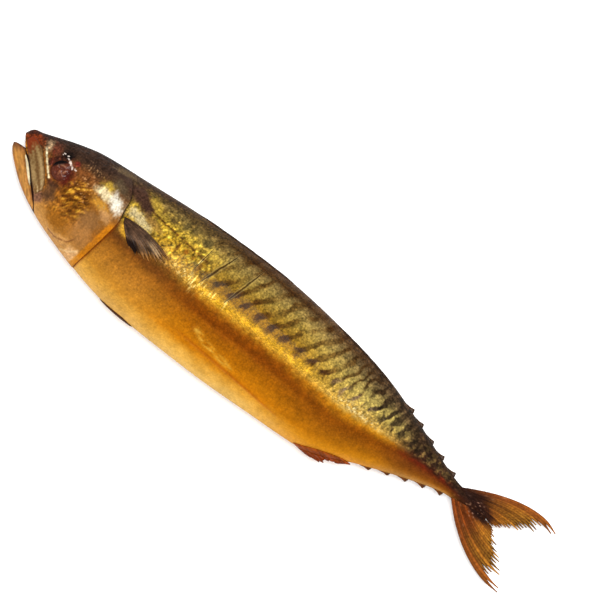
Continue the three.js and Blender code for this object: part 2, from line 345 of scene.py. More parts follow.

# %% [markdown]
# ## Colours of the head and the shoulder
# The head is a patchwork: a dark crown, a red snout, golden cheek fibres, a silver plate on the gill cover
# and an orange band along its edge. Behind the gill lie a dark shoulder and a few blotches. Soft oval
# patches laid over each other paint all of it. Each patch has a name, a place, a size, a turn, a colour and
# a strength, so any of them can be moved without touching the rest.

# %% Patches on the head and behind the gill
# The ramp ends near-black at the top of the head: partly the dark back, partly painted shade where the skin
# turns away.
HEAD_RAMP = [
    (0.0, (206, 150, 84)), (0.1, (192, 136, 68)), (0.2, (166, 110, 48)), (0.34, (148, 90, 30)),
    (0.5, (140, 86, 28)), (0.62, (128, 78, 32)), (0.72, (106, 66, 34)), (0.82, (76, 52, 34)),
    (0.9, (68, 46, 34)), (0.95, (54, 32, 22)), (1.0, (28, 14, 6)),
]
PATCHES = [
    ("snout", 8, 9, 6, 4.2, 10, (120, 50, 22), 0.95),
    ("snout shade", 5.4, 11.4, 4.4, 1.8, 30, (66, 32, 22), 0.9),
    ("snout top", 14, 15.6, 9, 2, 22, (54, 32, 24), 0.9),
    ("brow", 16.4, 11, 2.7, 3.2, 0, (190, 158, 120), 0.8),
    ("brow edge", 20.6, 11.8, 3.2, 3.8, 0, (112, 58, 40), 0.85),
    ("front of the eye", 23, 6.6, 2.2, 5, -25, (46, 22, 16), 0.9),
    ("round the eye", 30, 4.6, 8, 8, 0, (98, 48, 32), 0.95),
    ("red of the eye", 34.6, 2.4, 3, 4.8, 0, (78, 24, 18), 0.85),
    ("under the eye", 29.8, -3.6, 5, 2, 0, (66, 38, 26), 0.8),
    # The near-black eye pit: partly the eye's own dark, partly painted shade in the sunken pit.
    ("eye pit", 27, 13.8, 3.2, 4.6, -15, (12, 8, 8), 1.0),
    ("red spot", 33.6, 12, 1.8, 1.4, 20, (146, 50, 42), 0.7),
    ("behind the eye", 40, 9, 6.5, 4.5, 10, (120, 70, 32), 0.8),
    ("crown", 40, 19.8, 24, 4, 13, (60, 42, 32), 0.92),
    ("pale crown", 56, 23.8, 9, 1.8, 8, (108, 88, 60), 0.8),
    ("temple", 58.5, 16.2, 7, 3, -15, (90, 74, 54), 0.9),
    ("gold spot", 52.6, 12.6, 4.4, 3, 10, (196, 160, 58), 0.9),
    ("silver plate", 54.4, 8.5, 8, 3.1, -6, (230, 210, 164), 0.97),
    ("silver edge", 62, 8, 6.6, 3.6, -40, (228, 220, 202), 1.0),
    ("under the plate", 55, 3, 7, 2.6, -8, (204, 146, 52), 0.85),
    ("pink edge", 61.4, -0.4, 5.4, 3, -20, (196, 146, 92), 0.85),
    ("cheek", 43.5, -3, 9.5, 9, 0, (122, 74, 16), 0.9),
    ("lower cheek", 42, -15.6, 9, 5, -15, (148, 90, 22), 0.85),
    ("grey cover", 55.6, -6.6, 7, 7, 0, (142, 99, 56), 0.85),
    ("pink cover", 57.6, -15, 6, 6, 0, (166, 114, 60), 0.8),
    ("lower rim", 47, -24, 10, 2.6, 14, (208, 152, 86), 0.85),
    ("lower cover", 59, -25.4, 5, 4, 20, (222, 170, 112), 0.95),
    ("mouth corner", 27.4, -14, 3.2, 4.4, -30, (120, 82, 66), 0.85),
    ("corner shade", 30.8, -8.6, 4, 5, 20, (84, 56, 36), 0.85),
    ("dark nape", 61, 20.4, 6, 2.6, 0, (74, 54, 42), 0.9),
    ("dark shoulder", 72.6, 17.8, 11, 3.8, -32, (70, 46, 36), 0.97),
    ("side of the nape", 67, 19, 5.5, 4.4, 0, (78, 52, 40), 0.95),
    ("pale shoulder", 75, 10, 10, 3.1, -8, (196, 178, 134), 0.9),
    ("gold shoulder", 79, 20.6, 7.5, 2.8, -20, (198, 162, 60), 0.8),
    ("brown shoulder", 83, 12.6, 7, 2.4, -12, (150, 114, 54), 0.8),
    ("under the fin", 73.6, 0.4, 4.4, 2.4, -38, (210, 156, 44), 0.85),
    ("first blotch", 83, 20.8, 1, 2.6, 0, (98, 74, 34), 0.8),
    ("second blotch", 89.3, 20, 2.2, 1.7, -10, (86, 68, 34), 0.9),
    ("third blotch", 96.6, 22, 2.2, 2.8, 0, (98, 82, 44), 0.8),
    ("fourth blotch", 102, 23.6, 1.8, 3.6, 0, (104, 86, 46), 0.75),
    ("fifth blotch", 110.4, 21.8, 3.2, 2.4, 30, (88, 74, 40), 0.9),
    ("mark under the line", 99.6, 11.4, 1, 3.2, 0, (92, 56, 18), 0.8),
    ("red mark", 104.4, 11.8, 1.5, 1.7, 0, (150, 88, 20), 0.8),
    ("small mark", 109, 11.2, 0.9, 2.2, 0, (124, 82, 24), 0.7),
    ("last mark", 114.4, 9.8, 1, 2.6, 0, (106, 70, 24), 0.8),
]
SPARKLE_SEARCH = 2.5  # a glint reaches no further than this from its middle
# The wet glints round the eye are painted highlights, on the skin and on the eye.
SPARKLES = [
    (25.1, 12.3, 0.8, 0.4, 20), (24.6, 11.2, 0.5, 0.35, 0), (27.2, 12.4, 0.7, 0.4, 0),
    (28.4, 11.1, 1.1, 0.5, -20), (30.4, 10, 1.7, 0.7, -35), (32.5, 8.6, 1.1, 0.5, -40),
    (34.4, 8.9, 1.2, 0.5, -20),
]


def turned_reach(dx, dy, wide, tall, turn):
    """Distance from the middle of a turned oval, 1 on its edge."""
    c, s = math.cos(math.radians(turn)), math.sin(math.radians(turn))
    return math.hypot((dx * c + dy * s) / wide, (dy * c - dx * s) / tall)


def patchwork(x, y, colour):
    """Lays the patches over a colour, with ragged borders."""
    for _, px, py, wide, tall, turn, paint, strength in PATCHES:
        dx, dy = x - px, y - py
        if max(abs(dx), abs(dy)) < 1.6 * max(wide, tall):
            reach = turned_reach(dx, dy, wide, tall, turn)
            reach += 0.32 * rough_noise(x, y, 3, px) + 0.26 * rough_noise(x, y, 1.1, py)
            colour = blend(colour, paint, strength * ease(1.3, 0.42, reach))
    return colour


def sparkle(x, y):
    """Strength of the small wet glints round the eye, which are painted highlights."""
    best = 0.0
    for sx, sy, wide, tall, turn in SPARKLES:
        if abs(x - sx) < SPARKLE_SEARCH and abs(y - sy) < SPARKLE_SEARCH:
            reach = turned_reach(x - sx, y - sy, wide, tall, turn) + 0.6 * rough_noise(x, y, 0.8, sx)
            best = max(best, ease(1.15, 0.5, reach))
    return best


print(len(PATCHES), "patches and", len(SPARKLES), "glints on head and shoulder")

# %% [markdown]
# ## The gill line and the creases
# The gill cover ends in a sharp step. A step that runs across the rows of a mesh looks jagged, so the rows
# of the body are drawn towards the gill line until one row follows it. Finer creases, where the drying skin
# has split, are left to the material.

# %% Gill line
GILL_X = 64.0
GILL_LINE = [
    (-40, 62), (-28, 63.6), (-19.4, 65.2), (-8.7, 66.9), (1.5, 68), (8, 66.7), (14.3, 65.7), (20, 62.3),
    (26, 57.6),
]
GILL_REACH = 26.0
GILL_RISE = 1.1
NAPE_DIP = 0.06  # above the gill line head and body pass under each other by this much
gill_at = smooth_line(GILL_LINE)


def gill_shift(x, y):
    """How far a row at x is drawn along the fish, so that the row at GILL_X follows the gill line."""
    near = max(0.0, 1 - abs(x - GILL_X) / GILL_REACH)
    return (gill_at(y) - GILL_X) * near * near * (3 - 2 * near)


print("the gill line lies between x", round(gill_at(-28), 1), "and", round(gill_at(1.5), 1), "mm")

# %% [markdown]
# ## Relief of the skin
# Under the colour the skin has a shape of its own: the raised gill cover, the sunken eye socket, wrinkled
# cheek fibres, a fold along the belly. Sculpting would give it by hand; here each form is a small bump or
# step that is added to the surface along its normal.

# %% Relief in millimetres
EYE_X, EYE_Y, EYE_RADIUS = 29.2, 4.2, 5.4
EYE_PIT = (26.9, 13.6)
BROW_RIDGE = [(16, 8.4), (18.5, 5.3), (21.2, 2.5), (23.9, -0.2), (26, -2.2)]
BELLY_FOLD = smooth_line([(110, -22), (134, -23.2), (152, -23.8), (173, -24.8), (205, -26)])
FOLD_GLINT = [(133, -16), (140.6, -18.4), (152, -20), (158, -20.4)]


def cheek_share(x, y):
    """1 on the cheek behind the eye, fading to 0 round it."""
    return ease(1.25, 0.5, math.hypot((x - 43) / 9.5, (y + 3) / 11)) * ease(32, 37, x)


def fibre(x, y):
    """Wrinkled fibres of the cheek, from about -1 to 1."""
    bend = 0.5 * rough_noise(x, y, 6, 1.0)
    along, across = 0.8 * x + 0.6 * y, 0.8 * y - 0.6 * x + 2.6 * bend
    return rough_noise(along / 3, across, 1.35, 2.2) + 0.4 * rough_noise(along / 2, across, 0.7, 4.4)


def head_relief(row, x, y):
    """Height of the head's skin above the plain body. Row is x before it was drawn to the gill line."""
    cover = ease(24, 17, y)
    rise = broad_relief(x, y) + GILL_RISE * ease(36, GILL_X, row) * cover
    lower_plate = math.hypot((x - 50) / 17, (y + 10) / 14.5)
    rise += 0.35 * ease(1.03, 0.95, lower_plate) * ease(-9, -13, y) * ease(33, 38, x)
    rise += 0.6 * fibre(x, y) * cheek_share(x, y)
    wrinkled = ease(10, 20, x) * ease(56, 48, x) * ease(-18, -13, y)
    rise += (0.22 * rough_noise(x, y, 2.2, 3.0) + 0.18 * rough_noise(x, y, 1.0, 2.0)) * wrinkled
    eye = math.hypot(x - EYE_X, y - EYE_Y)
    rise += 0.2 * hump(eye, 7.0, 1.2) - 1.0 * ease(6.6, 4.4, eye)
    rise -= 0.7 * hump(math.hypot((x - EYE_PIT[0]) / 2.4, (y - EYE_PIT[1]) / 3.4), 0, 1)
    rise += 0.5 * hump(way_from_path(x, y, BROW_RIDGE), 0, 0.7) + 0.3 * sparkle(x, y)
    return rise - NAPE_DIP * ease(GILL_X - 2, GILL_X, row) * (1 - cover)


def broad_relief(x, y):
    """The soft unevenness that all the skin has."""
    return 0.22 * rough_noise(x, y, 17, 9.0) + 0.08 * rough_noise(x, y, 4, 6.0)


def body_relief(row, x, y):
    """Height of the skin behind the gill above the plain body. Before the gill it dips under the head."""
    rise = broad_relief(x, y)
    if row < 80:
        cover = ease(24, 17, y)
        rise -= 0.45 * hump(max(row, GILL_X + 0.6), GILL_X + 0.6, 1.1) * cover
        rise -= (0.6 * cover + NAPE_DIP) * ease(GILL_X, GILL_X - 2, row)
        rise += 0.4 * ease(1.1, 0.8, math.hypot((x - 70) / 8, (y - 17) / 5.5))
    if 110 < x < 212 and y < -10:
        side = y - BELLY_FOLD(x)
        fold = 0.45 * math.tanh(side / 0.9) - 0.25
        rise += fold * ease(112, 136, x) * ease(210, 180, x) * ease(-33, -29, y)
        rise += 0.4 * hump(way_from_path(x, y, FOLD_GLINT), 0, 1.5)
    if 192 < x < 268 and y > 2:
        rise += 0.2 * rough_noise(x * 2.4, y * 0.6, 3.2, 8.8) * ease(192, 214, x) * ease(268, 255, x)
    if 68 < x < 230 and y < 0:
        rise += 0.14 * ease(0.4, 0.7, rough_noise(x, y, 1.9, 4.6))
    return rise


gill_step = head_relief(GILL_X, GILL_X, -5) - body_relief(GILL_X + 0.6, GILL_X + 0.6, -5)
print("the gill cover stands", round(gill_step, 2), "mm proud")

# %% [markdown]
# ## Lofting a body from a grid
# A loft starts as a flat grid. One direction of the grid becomes the length of the fish, and the other is
# rolled round it, so the two long edges meet and are merged. Head, body, lower jaw and mouth are all lofts.
# A skin modifier or a stretched ball would be quicker to set up, but neither can follow the lines closely.
# More of the grid goes to the flank that shows and to the head, where the detail is.

# %% Loft
SHOWN_SHARE = 0.68  # share of the grid's columns on the upper flank
CLOSING = 0.04  # share of a flank's columns that close a cut edge
TURNED_FROM = 0.6  # share of the half thickness at which the skin starts to turn away from the flank


def add_piece(name, bm, material):
    """Closes a mesh, makes it an object in the frame and lets it stand for the solid."""
    bmesh.ops.remove_doubles(bm, verts=bm.verts, dist=1e-6)
    bmesh.ops.recalc_face_normals(bm, faces=bm.faces)
    mesh = bpy.data.meshes.new(name)
    bm.to_mesh(mesh)
    bm.free()
    mesh.shade_smooth()
    mesh.materials.append(material)
    piece = bpy.data.objects.new(name, mesh)
    bpy.context.scene.collection.objects.link(piece)
    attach(piece, "root")
    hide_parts(NODE)
    print(name, "has", len(mesh.polygons), "faces")
    return piece


def paint_layers(bm):
    """The two attributes that every piece is painted with."""
    return bm.verts.layers.float_color.new("tint"), bm.verts.layers.float.new("shine")


def section(x):
    """Heights of the belly, the widest place and the back, and the half thickness."""
    back, belly = back_at(x), belly_at(x)
    return belly, belly + WIDEST_SHARE * (back - belly), back, max(1e-6, half_at(x))


def turn_at(x, y):
    """Turn from the belly round the flank at which a section reaches a height."""
    belly, widest, back, _ = section(x)
    if y >= widest:
        return math.acos(-(min(1.0, (y - widest) / max(1e-6, back - widest)) ** (BACK_FULLNESS / 2)))
    return math.acos(min(1.0, (widest - y) / max(1e-6, widest - belly)) ** (BELLY_FULLNESS / 2))


def section_point(x, turn):
    """(y, z) and the outward normal of the upper flank at a turn from the belly."""
    belly, widest, back, half = section(x)
    up, out = -math.cos(turn), max(0.0, math.sin(turn))
    full = BACK_FULLNESS if up > 0 else BELLY_FULLNESS
    reach = max(1e-6, back - widest if up > 0 else widest - belly)
    tall, wide = abs(up) ** (2 / full), out ** (2 / full)
    normal = Vector((math.copysign(tall ** (full - 1) / reach, up), wide ** (full - 1) / half))
    return widest + math.copysign(reach * tall, up), half * wide, normal.normalized()


def flank_point(x, share, low, high):
    """(y, z) and normal at a share of the way between a flank's lower and upper edge. Both may be cuts."""
    start, stop = turn_at(x, low), turn_at(x, high)
    inner = (share - CLOSING) / (1 - 2 * CLOSING)
    y, z, normal = section_point(x, start + (stop - start) * min(1.0, max(0.0, inner)))
    if inner < 0:
        return y, z * share / CLOSING, Vector((-1.0, 0.0))
    if inner > 1:
        return y, z * (1 - share) / CLOSING, Vector((1.0, 0.0))
    return y, z, normal


def even_row(span, along):
    """Rows between two places, closer at both ends."""
    return span[0] + (span[1] - span[0]) * (1 - math.cos(math.pi * along)) / 2


def loft(name, span, edges, counts, material, paint, station=None, shift=None, relief=None, inset=1.0):
    """The part of the body between two edges, which are functions of x, as a closed skin."""
    bm = bmesh.new()
    bmesh.ops.create_grid(bm, x_segments=counts[0], y_segments=counts[1], size=1)
    tint, shine = paint_layers(bm)
    places = bm.verts.layers.float_vector.new("side_view")
    for vert in bm.verts:
        along, around = (vert.co.x + 1) / 2, (vert.co.y + 1) / 2
        row = station(along) if station else even_row(span, along)
        shown = around <= SHOWN_SHARE + 1e-6
        share = around / SHOWN_SHARE if shown else (1 - around) / (1 - SHOWN_SHARE)
        side = 1 if shown else -1
        x = row
        y, z, normal = flank_point(x, share, edges[0](x), edges[1](x))
        if shift:
            x = row + shift(row, y)
            y, z, normal = flank_point(x, share, edges[0](x), edges[1](x))
        turn_start = TURNED_FROM * half_at(x)
        Skin.turned = min(2 * turn_start, max(0.0, turn_start - side * z))
        at_end = along < 1e-6 or along > 1 - 1e-6
        rise = relief(row, x, y) * ease(0.05, 0.5, normal.y) if relief and not at_end else 0.0
        colour, gloss, fleck = paint(row, x, y)
        vert[tint] = light(colour, fleck)
        vert[shine] = gloss
        vert[places] = (x, y, side * z)
        z = 0.0 if at_end else side * max(0.0, z + normal.y * rise) * inset
        vert.co = seat(x, y + normal.x * rise, z, SKIN_FLOOR)
    Skin.turned = 0.0
    return add_piece(name, bm, material)


print("share of the columns on the upper flank:", SHOWN_SHARE)

# %% [markdown]
# ## Tools for nodes
# A material is a tree of nodes, and wiring each by hand takes many lines. Three helpers shorten that: one
# adds a node with its values, one adds a step of arithmetic, and one starts a node group with named inputs
# and outputs.

# %% Node tools
def add_node(tree, kind, **values):
    """A new node with its properties, and its inputs where the name is an input's."""
    node = tree.nodes.new(kind)
    for key, value in values.items():
        if key in node.inputs:
            node.inputs[key].default_value = value
        else:
            setattr(node, key, value)
    return node


def math_node(tree, operation, first, second=None, clamp=False):
    """The result of one step of arithmetic on numbers or sockets."""
    node = add_node(tree, "ShaderNodeMath", operation=operation, use_clamp=clamp)
    for socket, value in zip(node.inputs, (first, second)):
        if isinstance(value, (int, float)):
            socket.default_value = value
        elif value is not None:
            tree.links.new(value, socket)
    return node.outputs[0]


def new_group(name, inputs, outputs):
    """An empty node group, with the nodes for what it is given and what it puts out."""
    tree = bpy.data.node_groups.new(name, "ShaderNodeTree")
    for label, kind, value in inputs:
        socket = tree.interface.new_socket(label, in_out="INPUT", socket_type=kind)
        if value is not None:
            socket.default_value = value
    for label, kind in outputs:
        tree.interface.new_socket(label, in_out="OUTPUT", socket_type=kind)
    return tree, tree.nodes.new("NodeGroupInput"), tree.nodes.new("NodeGroupOutput")


print("node tools:", [tool.__name__ for tool in (add_node, math_node, new_group)])

# %% [markdown]
# ## Grain that all smoked surfaces share
# Smoked skin is never one flat colour: there are tiny scales, a mottle a few millimetres across and larger
# cloudy patches. One node group makes all three, and each material sets how strong they are. The group puts
# out a colour, a roughness mask and a height for a bump node, so the shaders stay in the materials.

# %% Smoked grain group
GRAIN_SCALE = 1250.0  # features of each size, per metre
SCALE_SCALE = 820.0
MOTTLE_SCALE = 190.0
CLOUD_SCALE = 42.0


def make_grain():
    """Scales, mottle and clouds as changes of a colour's brightness."""
    tree, given, put = new_group(
        "Smoked grain",
        [
            ("Tint", "NodeSocketColor", (0.6, 0.4, 0.1, 1)),
            ("Grain", "NodeSocketFloat", 0.3),
            ("Mottle", "NodeSocketFloat", 0.3),
        ],
        [("Color", "NodeSocketColor"), ("Rough", "NodeSocketFloat"), ("Height", "NodeSocketFloat")],
    )
    place = tree.nodes.new("ShaderNodeTexCoord").outputs["Object"]
    grain = add_node(tree, "ShaderNodeTexNoise", Scale=GRAIN_SCALE, Detail=2.0, Roughness=0.6)
    scales = add_node(tree, "ShaderNodeTexVoronoi", Scale=SCALE_SCALE, Randomness=0.85)
    mottle = add_node(tree, "ShaderNodeTexNoise", Scale=MOTTLE_SCALE, Detail=3.0, Roughness=0.6)
    cloud = add_node(tree, "ShaderNodeTexNoise", Scale=CLOUD_SCALE, Detail=3.0, Roughness=0.55)
    for texture in (grain, scales, mottle, cloud):
        tree.links.new(place, texture.inputs["Vector"])
    rims = math_node(tree, "MULTIPLY", math_node(tree, "SUBTRACT", 0.45, scales.outputs["Distance"]), 0.6)
    fine = math_node(tree, "ADD", math_node(tree, "SUBTRACT", grain.outputs[0], 0.5), rims)
    wide = math_node(tree, "SUBTRACT", math_node(tree, "ADD", mottle.outputs[0], cloud.outputs[0]), 1.0)
    fine_part = math_node(tree, "MULTIPLY", fine, given.outputs["Grain"])
    wide_part = math_node(tree, "MULTIPLY", wide, given.outputs["Mottle"])
    change = math_node(tree, "ADD", fine_part, wide_part)
    value = math_node(tree, "ADD", math_node(tree, "MULTIPLY", change, 2.0), 1.0)
    hue = add_node(tree, "ShaderNodeHueSaturation", Fac=1.0)
    tree.links.new(given.outputs["Tint"], hue.inputs["Color"])
    tree.links.new(value, hue.inputs["Value"])
    tree.links.new(hue.outputs[0], put.inputs["Color"])
    rough = math_node(tree, "ADD", math_node(tree, "MULTIPLY", fine, 0.5), mottle.outputs[0], clamp=True)
    tree.links.new(rough, put.inputs["Rough"])
    domes = math_node(tree, "MULTIPLY", scales.outputs["Distance"], -0.6)
    height = math_node(tree, "ADD", domes, grain.outputs[0])
    tree.links.new(height, put.inputs["Height"])
    return tree


grain_group = make_grain()
print("the grain group has", len(grain_group.nodes), "nodes")

# %% [markdown]
# ## A split in the skin
# While it dries, the skin of the back cracks across in a few places and shows a dark line with a pale lip.
# Each crack is a line from one point of the side view to another. A cut in the mesh would need far finer
# rows, so a second node group measures the way to that line from the `side_view` attribute, with a little
# noise so that the crack isn't ruled.

# %% Skin split group
def make_split():
    """Masks for the crack along a line and for the lip beside it."""
    tree, given, put = new_group(
        "Skin split",
        [
            ("Place", "NodeSocketVector", None),
            ("Start", "NodeSocketVector", None),
            ("End", "NodeSocketVector", None),
            ("Width", "NodeSocketFloat", 0.5),
        ],
        [("Crack", "NodeSocketFloat"), ("Lip", "NodeSocketFloat")],
    )

    def vector(operation, first, second=None, out="Vector"):
        """The result of one step of vector arithmetic."""
        node = add_node(tree, "ShaderNodeVectorMath", operation=operation)
        for socket, source in zip(node.inputs, (first, second)):
            if isinstance(source, tuple):
                socket.default_value = source
            elif source is not None:
                tree.links.new(source, socket)
        return node.outputs[out]

    wander = add_node(tree, "ShaderNodeTexNoise", Scale=0.14, Detail=3.0)
    tree.links.new(given.outputs["Place"], wander.inputs["Vector"])
    sway = vector("MULTIPLY", vector("SUBTRACT", wander.outputs["Color"], (0.5, 0.5, 0.5)), (1.4, 0.0, 0.0))
    flat = vector("MULTIPLY", vector("ADD", given.outputs["Place"], sway), (1.0, 1.0, 0.0))
    way = vector("SUBTRACT", flat, given.outputs["Start"])
    line = vector("SUBTRACT", given.outputs["End"], given.outputs["Start"])
    along = vector("DOT_PRODUCT", way, line, "Value")
    share = math_node(tree, "DIVIDE", along, vector("DOT_PRODUCT", line, line, "Value"), clamp=True)
    nearest = add_node(tree, "ShaderNodeVectorMath", operation="SCALE")
    tree.links.new(line, nearest.inputs[0])
    tree.links.new(share, nearest.inputs["Scale"])
    far = vector("LENGTH", vector("SUBTRACT", way, nearest.outputs[0]), None, "Value")
    swell = math_node(tree, "SINE", math_node(tree, "MULTIPLY", share, math.pi))
    breadth = math_node(tree, "ADD", math_node(tree, "MULTIPLY", swell, given.outputs["Width"]), 0.02)
    near = math_node(tree, "DIVIDE", far, breadth)
    tree.links.new(math_node(tree, "SUBTRACT", 1.35, near, clamp=True), put.inputs["Crack"])
    beside = math_node(tree, "ABSOLUTE", math_node(tree, "SUBTRACT", near, 2.0))
    tree.links.new(math_node(tree, "SUBTRACT", 1.0, beside, clamp=True), put.inputs["Lip"])
    return tree


split_group = make_split()
SPLITS = [
    ((127.0, 28.0, 0), (119.0, 3.0, 0), 0.48),
    ((141.8, 29.2, 0), (135.2, 2.8, 0), 0.44),
    ((114.4, 23.0, 0), (112.8, 6.0, 0), 0.22),
]
print(len(SPLITS), "splits across the back")

# %% [markdown]
# ## The smoked materials
# Smoked skin is oily: it has a metal-like sheen where the silver cells lie under the golden film, and a thin
# clear coat of fat. So the tint drives the colour, the `shine` attribute drives how metallic and how smooth
# the skin is, and the bump carries scales and splits. Fins, eyes and the mouth reuse the grain with other
# values.

# %% Materials
SPECULAR = 0.01  # a weak mirror, so that the pale floor doesn't fog the edges
COAT_ROUGHNESS = 0.15
# Painted over the splits: a pale lip, and a near-black crack that is partly painted shade in the open gap.
SPLIT_PAINTS = (("Lip", (0.34, 0.26, 0.1, 1), 0.25), ("Crack", (0.024, 0.011, 0.004, 1), 0.95))


def smoked_material(name, grain, mottle, rough, coat, bump, depth, metallic=0.0):
    """A Principled material on the tint attribute, and the nodes that more detail can be added to."""
    material = bpy.data.materials.new(name)
    material.use_nodes = True
    tree = material.node_tree
    shader = tree.nodes["Principled BSDF"]
    shader.inputs["Specular IOR Level"].default_value = SPECULAR
    shader.inputs["Coat Weight"].default_value = coat
    shader.inputs["Coat Roughness"].default_value = COAT_ROUGHNESS
    tint = add_node(tree, "ShaderNodeAttribute", attribute_name="tint")
    shine = add_node(tree, "ShaderNodeAttribute", attribute_name="shine")
    group = tree.nodes.new("ShaderNodeGroup")
    group.node_tree = grain_group
    group.inputs["Mottle"].default_value = mottle
    tree.links.new(math_node(tree, "MULTIPLY", tint.outputs["Alpha"], grain), group.inputs["Grain"])
    tree.links.new(tint.outputs["Color"], group.inputs["Tint"])
    tree.links.new(group.outputs["Color"], shader.inputs["Base Color"])
    smooth = math_node(tree, "MULTIPLY", shine.outputs["Fac"], -0.14)
    spread = math_node(tree, "ADD", math_node(tree, "MULTIPLY", group.outputs["Rough"], 0.2), rough - 0.1)
    tree.links.new(math_node(tree, "ADD", smooth, spread, clamp=True), shader.inputs["Roughness"])
    if metallic:
        tree.links.new(math_node(tree, "MULTIPLY", shine.outputs["Fac"], metallic), shader.inputs["Metallic"])
    relief = add_node(tree, "ShaderNodeBump", Strength=bump, Distance=depth)
    tree.links.new(group.outputs["Height"], relief.inputs["Height"])
    tree.links.new(relief.outputs[0], shader.inputs["Normal"])
    return material, tree, shader, group, relief


def add_splits(tree, shader, group, relief):
    """Lays the splits over the colour and the bump of a smoked material."""
    place = add_node(tree, "ShaderNodeAttribute", attribute_name="side_view")
    colour, height = group.outputs["Color"], group.outputs["Height"]
    for start, end, width in SPLITS:
        split = tree.nodes.new("ShaderNodeGroup")
        split.node_tree = split_group
        split.inputs["Start"].default_value = start
        split.inputs["End"].default_value = end
        split.inputs["Width"].default_value = width
        tree.links.new(place.outputs["Vector"], split.inputs["Place"])
        for mask, paint, strength in SPLIT_PAINTS:
            mix = add_node(tree, "ShaderNodeMix", data_type="RGBA")
            first, second = [socket for socket in mix.inputs if socket.type == "RGBA"]
            second.default_value = paint
            tree.links.new(math_node(tree, "MULTIPLY", split.outputs[mask], strength), mix.inputs["Factor"])
            tree.links.new(colour, first)
            colour = [socket for socket in mix.outputs if socket.type == "RGBA"][0]
        height = math_node(tree, "SUBTRACT", height, math_node(tree, "MULTIPLY", split.outputs["Crack"], 2.0))
        height = math_node(tree, "ADD", height, math_node(tree, "MULTIPLY", split.outputs["Lip"], 0.7))
    tree.links.new(colour, shader.inputs["Base Color"])
    tree.links.new(height, relief.inputs["Height"])


skin, *skin_nodes = smoked_material("smoked_skin", 0.42, 0.24, 0.45, 0.02, 0.3, 0.0003, metallic=0.6)
add_splits(*skin_nodes)
fin, *_ = smoked_material("smoked_fin", 0.45, 0.3, 0.42, 0.03, 0.4, 0.0003)
eye, *_ = smoked_material("dried_eye", 0.4, 0.35, 0.34, 0.08, 0.5, 0.0004)
mouth, *_ = smoked_material("mouth_lining", 0.3, 0.3, 0.5, 0.1, 0.4, 0.0004)
print("materials:", [m.name for m in (skin, fin, eye, mouth)])

# %% [markdown]
# ## The head
# Head and body are two lofts that meet at the gill line, so the edge of the gill cover stays sharp. The head
# runs from the tip of the upper jaw to that line. Below the upper jaw its lower edge is the lip, so the
# mouth can stand open, and the lower jaw is a loft of its own. Lines and strokes are painted over the
# patches.

# %% Head
SNOUT = 2.0
HEAD_COUNTS = (300, 200)
JAW_END = 31.0  # where the gap between the jaws runs out into the belly line
UPPER_LIP = [
    (SNOUT, 8), (4.4, 4.9), (6.5, 2.3), (8.7, 0.7), (12.1, -1.2), (16.4, -5.4), (19.3, -8.3), (24, -12.6),
    (27.4, -16.8), (JAW_END, -21.4),
]
lip_at = smooth_line(UPPER_LIP)
RIDGE_SHADE = [(19.6, 10), (22, 5.8), (24.4, 2.2), (25.4, 0.2)]
COVER_ARC = [(55.7, -18.6), (53.5, -21.8), (46.5, -23.7), (41.7, -22.9)]
COVER_RIM = [(52.8, -26.8), (57, -25.2), (60.8, -22.2)]


def under_edge(x):
    """Lower edge of the head: the upper lip, then the belly."""
    return lip_at(x) if x < JAW_END else belly_at(x)


def head_row(along):
    """Rows of the head, finer towards the snout. The last two rows both lie on the gill line."""
    reach = min(1.0, along / (1 - 1 / HEAD_COUNTS[0]))
    return SNOUT + (GILL_X - SNOUT) * reach**1.15


